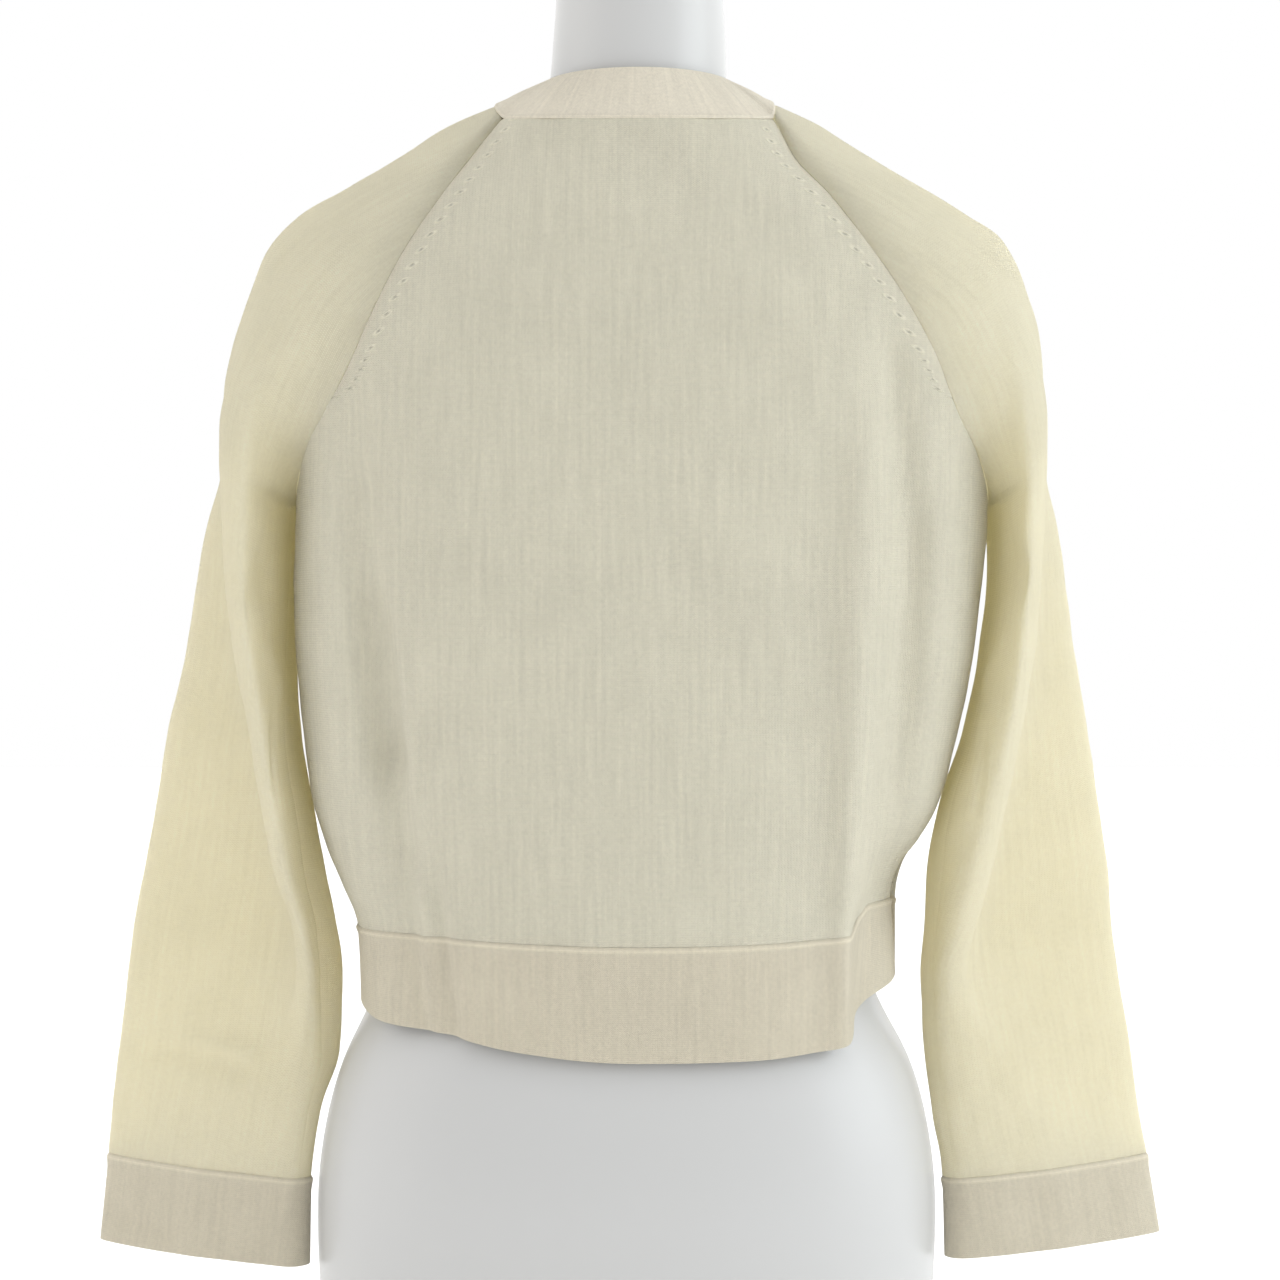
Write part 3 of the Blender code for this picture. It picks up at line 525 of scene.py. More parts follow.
# creases placed one by one. On the body: from x, z to x, z, height and width across, where a
# negative height is a trough
backCreases = [
    (-139, 462, -131, 400, -2.0, 8.0),
    (-131, 402, -123, 310, -5.2, 8.0),
    (-125, 330, -113, 262, -2.4, 6.0),
    (-110, 262, -99, 176, 2.4, 3.8),
    (-102, 262, -91, 178, -3.2, 4.4),
    (-160, 480, -146, 330, 2.2, 10.0),
    (124, 530, 136, 420, -4.5, 10.0),
    (136, 430, 128, 290, -5.5, 9.5),
    (110, 480, 105, 330, 2.4, 9.0),
    (104, 330, 101, 236, 2.6, 8.0),
    (78, 470, 84, 300, -1.2, 12.0),
    (58, 378, 85, 330, -0.9, 6.0),
    (66, 384, 96, 330, 0.6, 6.0),
    (104, 470, 100, 300, 0.8, 6.0),
    (99, 300, 100, 196, 1.0, 4.0),
    (109, 246, 107, 190, -2.2, 4.0),
    (-30, 300, -14, 252, 0.5, 9.0),
    (20, 292, 34, 250, -0.5, 9.0),
    (-160, 380, -140, 300, 0.8, 9.0),
    (140, 440, 128, 330, -0.9, 8.0),
    (-60, 208, -52, 180, -0.7, 7.0),
    (24, 205, 30, 180, 0.6, 8.0),
    (-90, 574, 92, 574, -0.22, 1.6),
    (-112, 463, 118, 465, -0.22, 1.6),
]
frontCreases = [
    (-126, 440, -104, 330, -1.3, 6.0),
    (-100, 300, -84, 190, -1.6, 6.0),
    (-60, 470, -34, 380, 0.7, 9.0),
    (118, 452, 100, 350, -1.2, 6.0),
    (96, 310, 80, 190, -1.5, 6.0),
    (52, 300, 44, 200, 0.8, 9.0),
    (-50, 250, -44, 196, 0.7, 8.0),
    (150, 430, 128, 400, -1.0, 6.0),
    (-150, 436, -130, 404, -1.0, 6.0),
]
# on a sleeve: from share, z to share, z, height, width, with shares as in its ring
leftSleeveCreases = [
    (0.47, 171, 0.36, 160, 2.4, 4.0),
    (0.50, 162, 0.36, 152, -2.6, 4.5),
    (0.08, 412, 0.20, 392, -2.4, 13.0),
    (0.10, 372, 0.02, 350, 1.6, 9.0),
    (0.07, 338, 0.16, 300, -1.5, 6.0),
    (0.30, 500, 0.22, 440, 0.9, 12.0),
    (0.20, 540, 0.13, 480, -1.2, 11.0),
    (0.44, 330, 0.46, 250, 1.0, 14.0),
    (0.42, 250, 0.44, 190, -0.9, 12.0),
    (0.30, 140, 0.18, 118, -0.8, 8.0),
    (0.66, 420, 0.78, 380, -1.8, 9.0),
    (0.80, 330, 0.70, 290, -1.5, 9.0),
    (0.68, 250, 0.80, 214, -1.4, 8.0),
    (0.74, 160, 0.62, 140, -1.0, 7.0),
]
rightSleeveCreases = [
    (0.07, 424, 0.17, 404, -2.0, 12.0),
    (0.10, 380, 0.02, 356, 1.5, 9.0),
    (0.06, 330, 0.14, 290, -1.3, 6.0),
    (0.28, 506, 0.22, 450, 0.9, 12.0),
    (0.18, 545, 0.12, 486, -1.1, 11.0),
    (0.46, 320, 0.45, 250, 0.9, 14.0),
    (0.41, 236, 0.46, 186, -0.9, 12.0),
    (0.50, 152, 0.40, 146, -0.9, 6.0),
    (0.24, 150, 0.34, 128, -0.7, 8.0),
    (0.66, 430, 0.78, 392, -1.7, 9.0),
    (0.80, 340, 0.68, 300, -1.5, 9.0),
    (0.70, 232, 0.80, 204, -1.3, 8.0),
]
leftCuffCreases = [
    (0.52, 80, 0.40, 69, -1.4, 4.0),
    (0.53, 72, 0.42, 61, 0.8, 4.0),
    (0.20, 88, 0.30, 70, -0.5, 7.0),
]
rightCuffCreases = [
    (0.30, 92, 0.38, 72, -0.5, 7.0),
    (0.50, 90, 0.46, 68, 0.5, 7.0),
]


fadeShare = 0.35  # of a crease's length, over which each of its ends fades


def creaseHeight(creases, a, z, scale=1.0):  # a is x, or a share that scale turns to length
    total = np.zeros_like(a)
    for a0, z0, a1, z1, height, width in creases:
        runA, runZ = (a1 - a0) * scale, z1 - z0
        length = np.hypot(runA, runZ)
        offA, offZ = (a - a0) * scale, z - z0
        along = (offA * runA + offZ * runZ) / length
        beside = (offA * runZ - offZ * runA) / length
        fadeLength = fadeShare * length
        fade = ease(along / fadeLength + 0.5) * ease((length - along) / fadeLength + 0.5)
        total += height * hump(beside, width) * fade
    return total


cloth = {
    "panelWall": 1.8,
    "bandWall": 2.2,
    "seamGap": 0.04,  # each piece stands this far back from a seam
    "seamDip": 0.32,  # the cloth rolls in by this much at a seam
    "seamRoll": 1.3,
    "rimRound": 0.5,
    "rimAngle": 1.1,
    "beadHeight": 0.85,  # the linking that stands up along the hem and the cuffs
    "beadWidth": 1.3,
    "beadFrom": 2.0,
    "insideBody": (0, 0, 400),  # a point that the cloth of the body faces away from
    "insideHem": (0, 0, 200),
}


def edgeDistances(grid):  # millimetres from the left, right, first and last edge
    across = np.linalg.norm(np.diff(grid, axis=1), axis=2)
    along = np.linalg.norm(np.diff(grid, axis=0), axis=2)
    left = np.pad(np.cumsum(across, axis=1), ((0, 0), (1, 0)))
    top = np.pad(np.cumsum(along, axis=0), ((1, 0), (0, 0)))
    return {"left": left, "right": left[:, -1:] - left, "first": top, "last": top[-1:] - top}


def makeCloth(name, grid, heights, knitUv, seamUv, wall, inside, closedFrom=None):
    rows, columns = grid.shape[:2]
    index = np.arange(rows * columns).reshape(rows, columns)
    if closedFrom is not None:
        index[closedFrom:, -1] = index[closedFrom:, 0]
    faces = np.stack([index[:-1, :-1], index[:-1, 1:], index[1:, 1:], index[1:, :-1]], axis=-1)
    corners = [(0, 0), (0, 1), (1, 1), (1, 0)]
    middle = grid[rows // 2, columns // 2]
    runA = grid[rows // 2, columns // 2 + 1] - middle
    runB = grid[rows // 2 + 1, columns // 2] - middle
    if np.dot(np.cross(runA, runB), middle - np.array(inside)) < 0:
        faces, corners = faces[..., ::-1], corners[::-1]
    used = np.unique(faces)
    renumber = np.zeros(rows * columns, int)
    renumber[used] = np.arange(len(used))
    points = grid.reshape(-1, 3)[used]
    shape = bpy.data.meshes.new(name)
    shape.from_pydata((points * mm).tolist(), [], renumber[faces].reshape(-1, 4).tolist())
    normals = np.zeros(len(used) * 3)
    shape.vertices.foreach_get("normal", normals)
    moved = points + normals.reshape(-1, 3) * heights.reshape(-1)[used][:, None]
    shape.vertices.foreach_set("co", (moved * mm).ravel())
    for label, uv in (("knit", knitUv), ("seam", seamUv)):
        layer = shape.uv_layers.new(name=label)
        stacked = np.stack([uv[a:rows - 1 + a, b:columns - 1 + b] for a, b in corners], axis=2)
        layer.uv.foreach_set("vector", stacked.astype(np.float32).ravel())
    shape.update()
    piece = newObject(name, shape)
    only(piece)
    modify(piece, "SOLIDIFY", thickness=wall * mm, offset=-1, use_rim=True)
    roundEdges(piece, cloth["rimRound"], cloth["rimAngle"])
    bpy.ops.object.shade_smooth()
    return piece


def pullBack(grid, sides=("left", "right", "first", "last")):  # off its seam lines
    moved = grid.copy()
    rows = {  # each edge and the row beside it
        "left": (np.s_[:, 0], np.s_[:, 1]),
        "right": (np.s_[:, -1], np.s_[:, -2]),
        "first": (np.s_[0], np.s_[1]),
        "last": (np.s_[-1], np.s_[-2]),
    }
    for side in sides:
        at, beside = rows[side]
        step = grid[beside] - grid[at]
        moved[at] += step / np.linalg.norm(step, axis=-1, keepdims=True) * cloth["seamGap"]
    return moved


def dip(distance, amount=1.0):
    return -cloth["seamDip"] * amount * hump(distance, cloth["seamRoll"])


def bead(distance):
    return cloth["beadHeight"] * hump(distance - cloth["beadFrom"], cloth["beadWidth"])


def uvOf(u, v):
    return np.stack(np.broadcast_arrays(u, v), axis=-1) * mm


noSeam = (60.0, 0.5)  # far from any seam, and half way between two fashioning marks

marks = {  # down the raglan seam from the neck
    "pitch": 9.2,
    "closePitch": 5.4,
    "closeFrom": 150.0,
    "last": 172.0,
    "runAway": 3,
}


def markCount(along):  # how many fashioning marks lie above a place on the raglan seam
    close = marks["closeFrom"]
    return np.where(along < close, along / marks["pitch"],
                    close / marks["pitch"] + (along - close) / marks["closePitch"])


def markUv(distance, along):  # past the last mark the distance runs away smoothly
    away = distance + marks["runAway"] * np.maximum(along - marks["last"], 0)
    return uvOf(np.minimum(away, noSeam[0]), markCount(along) / mm)


def plainUv(grid):
    return uvOf(np.full(grid.shape[:2], noSeam[0]), noSeam[1] / mm)


def riseLength(z, turn):  # length of cloth up the body, so that its courses are level
    heights = np.linspace(160, 660, 251)  # every 2 mm, past the hem and the neck
    steps = np.linalg.norm(np.diff(bodyPoint(heights, turn), axis=0), axis=1)
    return np.interp(z, heights, np.concatenate([[0], np.cumsum(steps)]))


waves = {"count": 9, "shortest": 16, "longest": 60, "height": 0.2, "bandHeight": 0.1}


def unevenness(u, v, seed, amount=waves["height"]):  # worn cloth is never quite flat
    chance = np.random.default_rng(seed)
    total = 0
    for _ in range(waves["count"]):
        length = chance.uniform(waves["shortest"], waves["longest"])
        heading = chance.uniform(0, pi)
        phase = chance.uniform(0, 2 * pi)
        run = u * np.cos(heading) + v * np.sin(heading)
        total = total + np.sin(run * 2 * pi / length + phase)
    return total * amount / 3


def keep(piece, node, slot, finish, flat, area, held="draped", restsOn=("dress_form",)):
    piece.data.materials.append(finish)
    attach(piece, "root")
    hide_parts(node)
    flat[0] * mm
    flat[1] * mm
    area * flat[0] * flat[1] * mm * mm
    return piece


def buildCloth(finishes):
    body, sleeve, band = finishes["body"], finishes["sleeve"], finishes["band"]
    grids = {}

    grid = backGrid()
    grids["back"] = grid
    edge = edgeDistances(grid)
    side = np.minimum(edge["left"], edge["right"])
    x, z = grid[..., 0], grid[..., 2]
    centre = np.array([np.interp(0, *row) for row in zip(x, edge["left"])])
    u = edge["left"] - centre[:, None]
    v = riseLength(z, 0.0)
    heights = creaseHeight(backCreases, x, z) + unevenness(u, v, 3)
    heights += dip(side) + dip(edge["last"], 0.8) + dip(edge["first"], 0.5)
    keep(makeCloth("backCloth", pullBack(grid), heights, uvOf(u, v),
                   markUv(side, edge["last"][:, :1]), cloth["panelWall"], cloth["insideBody"]),
         "back_panel", "body_knit", body, (462, 415), 0.84)

    for name, sign in (("left", -1), ("right", 1)):
        grid = frontGrid(sign)
        grids["front" + name] = grid
        edge = edgeDistances(grid)
        x, z = grid[..., 0], grid[..., 2]
        u, v = sign * edge["left"], riseLength(z, 150.0)
        heights = creaseHeight(frontCreases, x, z) + unevenness(u, v, 5 + sign)
        heights += dip(edge["right"]) + dip(edge["last"], 0.8) + dip(edge["first"], 0.5)
        keep(makeCloth("front" + name.title() + "Cloth", pullBack(grid), heights,
                       uvOf(u, v), markUv(edge["right"], edge["last"][:, -1:]),
                       cloth["panelWall"], cloth["insideBody"]),
             "front_panel_" + name, "body_knit", body, (235, 400), 0.84)

    for name, sign, table, creases, cuffCreases in (
            ("left", -1, leftSleeve, leftSleeveCreases, leftCuffCreases),
            ("right", 1, rightSleeve, rightSleeveCreases, rightCuffCreases)):
        grid, shares, joinRow = sleeveGrid(sign, table)
        grids["sleeve" + name] = grid
        edge = edgeDistances(grid)
        middle = int(np.argmin(abs(shares - outerShare)))
        u = edge["left"] - edge["left"][:, middle][:, None]
        v = edge["first"] - edge["first"][joinRow][None, :]
        side = np.minimum(edge["left"], edge["right"])
        place = np.broadcast_to(shares[None, :], u.shape)
        girth = mesh["sleeveRound"]
        heights = creaseHeight(creases, place, grid[..., 2], girth) + unevenness(u, v, 11 + sign)
        heights += dip(side) + dip(edge["first"], 0.8) + dip(edge["last"], 0.5)
        centre = grid[len(grid) // 2].mean(axis=0)
        keep(makeCloth("sleeve" + name.title() + "Cloth", pullBack(grid, ("first", "last")),
                       heights, uvOf(u, v), plainUv(grid), cloth["panelWall"], centre, joinRow),
             "sleeve_" + name, "sleeve_knit", sleeve, (390, 580), 0.72, "hung")
        grid, shares = cuffGrid(sign, table)
        edge = edgeDistances(grid)
        u = edge["left"] - edge["left"][:, middle][:, None]
        place = np.broadcast_to(shares[None, :], u.shape)
        heights = creaseHeight(cuffCreases, place, grid[..., 2], girth)
        heights += dip(edge["first"], 0.7) + bead(edge["first"]) + dip(side[:1], 0.3)
        keep(makeCloth("cuff" + name.title() + "Cloth", pullBack(grid, ("first",)), heights,
                       uvOf(u, edge["first"]), plainUv(grid), cloth["bandWall"],
                       grid[len(grid) // 2].mean(axis=0), 0),
             "cuff_" + name, "band_knit", band, (235, 45), 1.0, "hung")

    across = spread(mesh["backAcross"])
    runs = {
        "back": (-90 + 180 * across, (450, 58)),
        "front_left": (frontTurns(-1), (215, 43)),
        "front_right": (frontTurns(1), (215, 40)),
    }
    for name, (turns, flat) in runs.items():
        grid = hemGrid(turns)
        edge = edgeDistances(grid)
        x, z = grid[..., 0], grid[..., 2]
        u = edge["left"] - (edge["left"][:, len(turns) // 2][:, None] if name == "back" else 0)
        heights = creaseHeight(backCreases if name == "back" else frontCreases, x, z)
        heights += dip(np.minimum(edge["left"], edge["right"]), 0.8)
        heights += dip(edge["first"], 0.7) + bead(edge["first"])
        keep(makeCloth("hem" + name.title().replace("_", "") + "Cloth",
                       pullBack(grid, ("left", "right", "first")), heights, uvOf(u, edge["first"]),
                       plainUv(grid), cloth["bandWall"], cloth["insideHem"]),
             "hem_band_" + name, "band_knit", band, flat, 1.0)

    line = np.vstack([
        grids["frontleft"][-1],
        grids["sleeveleft"][0][::-1][1:],
        grids["back"][-1][1:],
        grids["sleeveright"][0][1:],
        grids["frontright"][-1][::-1][1:],
    ])
    grid = neckbandGrid(evenly(line, mesh["cell"]))
    edge = edgeDistances(grid)
    heights = dip(edge["first"], 0.7) + bead(edge["first"])
    heights = heights + dip(edge["left"], 0.5) + dip(edge["right"], 0.5)
    keep(makeCloth("neckbandCloth", pullBack(grid, ("left", "right", "first")), heights,
                   uvOf(edge["left"][:1], edge["first"]), plainUv(grid), cloth["bandWall"],
                   grid[len(grid) // 2].mean(axis=0)),
         "neckband", "band_knit", finishes["neck"], (430, 30), 1.0)

    half = garment["bandWidth"] / 2
    for name, leftX, rightX, outward in (
            ("left", -half + garment["bandEase"], half - garment["bandEase"], 0.0),
            ("right", -half, half + garment["bandLap"], garment["bandOver"])):
        grid = bandGrid(leftX, rightX, outward)
        edge = edgeDistances(grid)
        heights = unevenness(edge["left"], edge["first"], 21, waves["bandHeight"])
        keep(makeCloth("buttonBand" + name.title() + "Cloth", pullBack(grid), heights,
                       uvOf(edge["left"], edge["first"]), plainUv(grid), cloth["bandWall"],
                       cloth["insideBody"]),
             "button_band_" + name, "band_knit", finishes["front"], (rightX - leftX, 425), 1.0)


def newObject(name, data):
    made = bpy.data.objects.new(name, data)
    bpy.context.scene.collection.objects.link(made)
    return made


def only(piece):
    bpy.ops.object.select_all(action="DESELECT")
    bpy.context.view_layer.objects.active = piece
    piece.select_set(True)


def modify(piece, kind, **settings):  # the modifier is applied at once
    made = piece.modifiers.new(kind, kind)
    for key, value in settings.items():
        setattr(made, key, value)
    bpy.ops.object.modifier_apply(modifier=made.name)


def roundEdges(piece, width, angle):
    modify(piece, "BEVEL", width=width * mm, segments=2, limit_method="ANGLE", angle_limit=angle)


button = {
    "count": 7,
    "radius": 5.8,
    "thickness": 2.6,
    "lowest": 209.0,
    "highest": 590.0,
    "lift": 2.95,  # its back above the outer face of the front's middle line
    "profile": ((0.86, 0.0), (1.0, 0.35), (0.985, 0.72), (0.93, 0.94), (0.84, 1.0),
                (0.74, 0.95), (0.66, 0.80), (0.56, 0.74), (0.30, 0.72)),
    "sides": 48,
    "creaseAngle": 0.6,
    "holeReach": 1.35,
    "holeRadius": 0.62,
    "holeSides": 20,
    "thread": 0.30,
    "threadSunk": 0.45,
    "slotHalf": 7.4,  # half the length of a buttonhole
    "slotRound": 1.0,
    "slotWaist": 0.2,
    "slotThread": 0.42,
    "slotFlat": 0.6,
    "slotSunk": 0.1,
}


def ringOf(radius, thread, place, turn, around=32):
    bpy.ops.mesh.primitive_torus_add(
        major_radius=radius * mm, minor_radius=thread * mm,
        major_segments=around, minor_segments=10,
        location=[k * mm for k in place], rotation=turn)
    bpy.ops.object.transform_apply(location=True, rotation=True, scale=True)
    return bpy.context.object


def modelButton(finish, thread):  # a dished disc with four holes and two loops of thread
    bpy.ops.mesh.primitive_circle_add(
        vertices=button["sides"], radius=button["profile"][0][0] * button["radius"] * mm,
        fill_type="NGON")
    made = bpy.context.object
    bpy.ops.object.mode_set(mode="EDIT")
    bpy.ops.mesh.select_all(action="SELECT")
    for (reach, height), (wider, higher) in zip(button["profile"], button["profile"][1:]):
        bpy.ops.mesh.extrude_region_move(
            TRANSFORM_OT_translate={"value": (0, 0, (higher - height) * button["thickness"] * mm)})
        share = wider / reach
        bpy.ops.transform.resize(value=(share, share, 1))
    bpy.ops.mesh.select_all(action="SELECT")
    bpy.ops.mesh.normals_make_consistent(inside=False)
    bpy.ops.object.mode_set(mode="OBJECT")
    holes = []
    for i in (-1, 1):
        for j in (-1, 1):
            bpy.ops.mesh.primitive_cylinder_add(
                vertices=button["holeSides"], radius=button["holeRadius"] * mm, depth=10 * mm,
                location=(i * button["holeReach"] * mm, j * button["holeReach"] * mm, 0))
            holes.append(bpy.context.object)
    for hole in holes:
        only(made)
        modify(made, "BOOLEAN", object=hole, solver="EXACT")
        bpy.data.objects.remove(hole)
    made.data.materials.append(finish)
    height = button["thickness"] * button["profile"][-1][1] - button["threadSunk"]
    reach = button["holeReach"]
    loops = [ringOf(reach, button["thread"], (i * reach, 0, height), (0, pi / 2, 0))
             for i in (-1, 1)]
    for loop in loops:
        loop.data.materials.append(thread)
    only(made)
    for loop in loops:
        loop.select_set(True)
    bpy.ops.object.join()
    bpy.ops.object.shade_smooth_by_angle(angle=button["creaseAngle"])
    return made


def modelSlot(thread):  # the stitched edge of a buttonhole
    made = ringOf(button["slotRound"], button["slotThread"], (0, 0, 0), (0, 0, 0), button["sides"])
    bpy.ops.object.mode_set(mode="EDIT")
    bpy.ops.mesh.select_all(action="SELECT")
    bpy.ops.mesh.normals_make_consistent(inside=False)
    bpy.ops.object.mode_set(mode="OBJECT")
    for point in made.data.vertices:
        if abs(point.co.y) > button["slotWaist"] * mm:
            point.co.y += np.sign(point.co.y) * (button["slotHalf"] - button["slotRound"]) * mm
        point.co.z *= button["slotFlat"]
    made.data.materials.append(thread)
    bpy.ops.object.shade_smooth()
    return made


def onFront(model, name, z, lift):  # a copy that stands on the front's middle line
    normal = lineNormal(np.array([z]))[0]
    place = frontLine(np.array([z]), np.array([0.0]))[0] + normal * lift
    side = np.cross((0.0, 0.0, 1.0), normal)
    side /= np.linalg.norm(side)
    turn = Matrix(np.stack([side, np.cross(normal, side), normal], axis=1).tolist()).to_4x4()
    piece = newObject(name, model.data.copy())
    piece.data.transform(Matrix.Translation(place * mm) @ turn)
    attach(piece, "root")
    return piece


def buildButtons(finish, thread):
    model, slot = modelButton(finish, thread), modelSlot(thread)
    for k in range(button["count"]):
        z = button["lowest"] + (button["highest"] - button["lowest"]) * k / (button["count"] - 1)
        piece = onFront(model, f"pearlButton{k + 1}", z, button["lift"])
        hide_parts(f"button_{k + 1}")
        hole = onFront(slot, f"buttonhole{k + 1}", z, button["lift"] - button["slotSunk"])
    for made in (model, slot):
        bpy.data.objects.remove(made)
    print("buttons", button["count"])


form = {"smoothing": 2, "edge": 1.2, "edgeAngle": 0.9, "weld": 1e-5, "quadAngle": 0.7}


def buildForm(finish):  # the form's solid with its faces joined to quads and smoothed
    piece = newObject("torso", bpy.data.objects["dress_form"].data.copy())
    only(piece)
    bpy.ops.object.mode_set(mode="EDIT")
    bpy.ops.mesh.select_all(action="SELECT")
    bpy.ops.mesh.remove_doubles(threshold=form["weld"])
    bpy.ops.mesh.tris_convert_to_quads(
        face_threshold=form["quadAngle"], shape_threshold=form["quadAngle"])
    bpy.ops.mesh.select_all(action="SELECT")
    bpy.ops.mesh.normals_make_consistent(inside=False)
    bpy.ops.object.mode_set(mode="OBJECT")
    roundEdges(piece, form["edge"], form["edgeAngle"])
    modify(piece, "SUBSURF", levels=form["smoothing"], render_levels=form["smoothing"])
    bpy.ops.object.shade_smooth()
    piece.data.materials.clear()
    piece.data.materials.append(finish)
    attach(piece, "root")
    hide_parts("dress_form")
    print("form", len(piece.data.polygons))


class Sock:  # a socket that can be reckoned with

    def __init__(self, tree, socket):
        self.tree, self.socket = tree, socket

    def maths(self, operation, *others):
        made = node(self.tree, "ShaderNodeMath", {"operation": operation}, (self, *others))
        return Sock(self.tree, made.outputs[0])

    def __add__(self, other): return self.maths("ADD", other)
    def __radd__(self, other): return self.maths("ADD", other)
    def __sub__(self, other): return self.maths("SUBTRACT", other)
    def __rsub__(self, other): return (self * -1) + other
    def __mul__(self, other): return self.maths("MULTIPLY", other)
    def __rmul__(self, other): return self.maths("MULTIPLY", other)
    def __truediv__(self, other): return self.maths("DIVIDE", other)
    def sin(self): return self.maths("SINE")
    def abs(self): return self.maths("ABSOLUTE")
    def fract(self): return self.maths("FRACT")
    def power(self, other): return self.maths("POWER", other)
    def least(self, other): return self.maths("MINIMUM", other)
    def most(self, other): return self.maths("MAXIMUM", other)


def node(tree, kind, settings=None, sockets=()):
    made = tree.nodes.new(kind)
    for key, value in (settings or {}).items():
        setattr(made, key, value)
    pairs = sockets.items() if isinstance(sockets, dict) else enumerate(sockets)
    for key, value in pairs:
        if isinstance(value, Sock):
            tree.links.new(value.socket, made.inputs[key])
        else:
            made.inputs[key].default_value = value
    return made


def newFinish(name):  # with its tree and the place on the object
    finish = bpy.data.materials.new(name)
    finish.use_nodes = True
    tree = finish.node_tree
    tree.nodes.clear()
    return finish, tree, Sock(tree, node(tree, "ShaderNodeTexCoord").outputs["Object"])


def finished(finish, surface):
    tree = finish.node_tree
    node(tree, "ShaderNodeOutputMaterial", sockets=(Sock(tree, surface.outputs[0]),))
    return finish


def noise(tree, where, **sockets):
    made = node(tree, "ShaderNodeTexNoise", sockets={"Vector": where, **sockets})
    return Sock(tree, made.outputs[0])


knit = {
    "panelGauge": (1.5, 1.15),  # width of a wale and height of a course
    "bandGauge": (1.15, 0.95),
    "neckGauge": (1.5, 0.95),
    "relief": 0.42,
    "body": (0.685, 0.652, 0.53),
    # the sleeves' colour is lighter and warmer than the body's yarn, which paints the glow of light
    # shining through the sleeves
    "sleeve": (0.93, 0.905, 0.80),
    "band": (0.635, 0.582, 0.462),
    # the neckband's colour is lighter than the other bands' yarn, which paints the light from above
    # falling on it
    "neck": (0.86, 0.795, 0.66),
    "throughColour": (1.0, 0.96, 0.77),  # of the light that comes through one layer
    "fuzzScale": 650.0,
    "mottleScale": 26.0,
    "streaks": (430, 22),  # the wales' unevenness, finer across than along
    "markFrom": 9.5,  # from the raglan seam to the fashioning marks
    "markReach": 3.2,
    "markPale": 0.22,
    "seamStrip": 4.0,  # the smoother strip beside the seam
    "seamLine": 0.9,
}


def mixColour(tree, factor, a, b):
    made = node(tree, "ShaderNodeMix", {"data_type": "RGBA"}, {0: factor, 6: a, 7: b})
    return Sock(tree, made.outputs[2])


def uvPair(tree, name):
    uv = node(tree, "ShaderNodeUVMap", {"uv_map": name})
    split = node(tree, "ShaderNodeSeparateXYZ", sockets=(Sock(tree, uv.outputs[0]),))
    return Sock(tree, split.outputs[0]), Sock(tree, split.outputs[1])


def knitFinish(name, colour, gauge, through, fine=1.0, beadHighlightAndSeamLine=0.0):
    finish, tree, where = newFinish(name)
    wale, course = gauge
    u, v = uvPair(tree, "knit")
    side = ((u / (wale * mm)).fract() - 0.5).abs()
    leg = (v / (course * mm) + side * 1.3).fract()
    stitch = (leg * pi).sin().power(0.7) * ((side * (2 * pi)).sin() * 0.5 + 0.5)
    fuzz = noise(tree, where, Scale=knit["fuzzScale"], Detail=3.0, Roughness=0.75)
    mottle = noise(tree, where, Scale=knit["mottleScale"], Detail=4.0, Roughness=0.6)
    across, up = knit["streaks"]
    drawn = node(tree, "ShaderNodeCombineXYZ", sockets=(u * across, v * up, 0.0))
    wales = noise(tree, Sock(tree, drawn.outputs[0]), Scale=1.0, Detail=1.0)

    # each fashioning mark is a small pale loop round a pinhole, which is darkened as painted shade
    # inside the hole
    away, count = uvPair(tree, "seam")
    beside = away / mm - knit["markFrom"]
    along = ((count + 0.5).fract() - 0.5) * marks["pitch"] + beside * 0.5
    reach = (beside * beside + along * along * 1.5).power(0.5) / knit["markReach"]
    loop = (1 - (reach - 0.62).abs() * 2.6).most(0.0)
    pinhole = (1 - reach * 3.4).most(0.0)
    strip = (1 - away / (knit["seamStrip"] * mm)).most(0.0).least(1.0)

    height = stitch * fine + fuzz * 0.9 + loop * 1.6 - pinhole * 2.5
    bump = node(tree, "ShaderNodeBump", sockets={
        "Height": height, "Distance": knit["relief"] * mm, "Strength": 0.85})
    shade = stitch * 0.22 + fuzz * 0.40 + mottle * 0.14 + wales * 0.22 + 0.54
    # the pinhole's darkening is painted shade inside the hole
    shade = shade + loop * knit["markPale"] - pinhole * 0.35
    shade = shade - (1 - away / (knit["seamLine"] * mm)).most(0.0).least(1.0) * 0.16
    if beadHighlightAndSeamLine:  # lighter along the raised bead of a band's seam, a painted highlight on the bead; a negative amount gives a slight dark seam line instead
        shade = shade + (1 - (v / mm - cloth["beadFrom"]).abs() / 1.5).most(0.0) * beadHighlightAndSeamLine
    red, green, blue = colour
    rosy = (red * 1.03, green * 0.97, blue * 0.97, 1)
    tint = mixColour(tree, strip * 0.5, (*colour, 1), rosy)
    shaded = node(tree, "ShaderNodeVectorMath", {"operation": "SCALE"}, {0: tint, "Scale": shade})
    surface = node(tree, "ShaderNodeBsdfPrincipled", sockets={
        "Base Color": Sock(tree, shaded.outputs[0]), "Roughness": 0.92,
        "Sheen Weight": 0.35, "Sheen Roughness": 0.45, "Sheen Tint": (1.0, 0.97, 0.88, 1),
        "Specular IOR Level": 0.15, "Normal": Sock(tree, bump.outputs[0])})
    glow = node(tree, "ShaderNodeBsdfTranslucent", sockets={
        "Color": (*knit["throughColour"], 1)})
    return finished(finish, node(tree, "ShaderNodeMixShader", sockets=(
        through, Sock(tree, surface.outputs[0]), Sock(tree, glow.outputs[0]))))


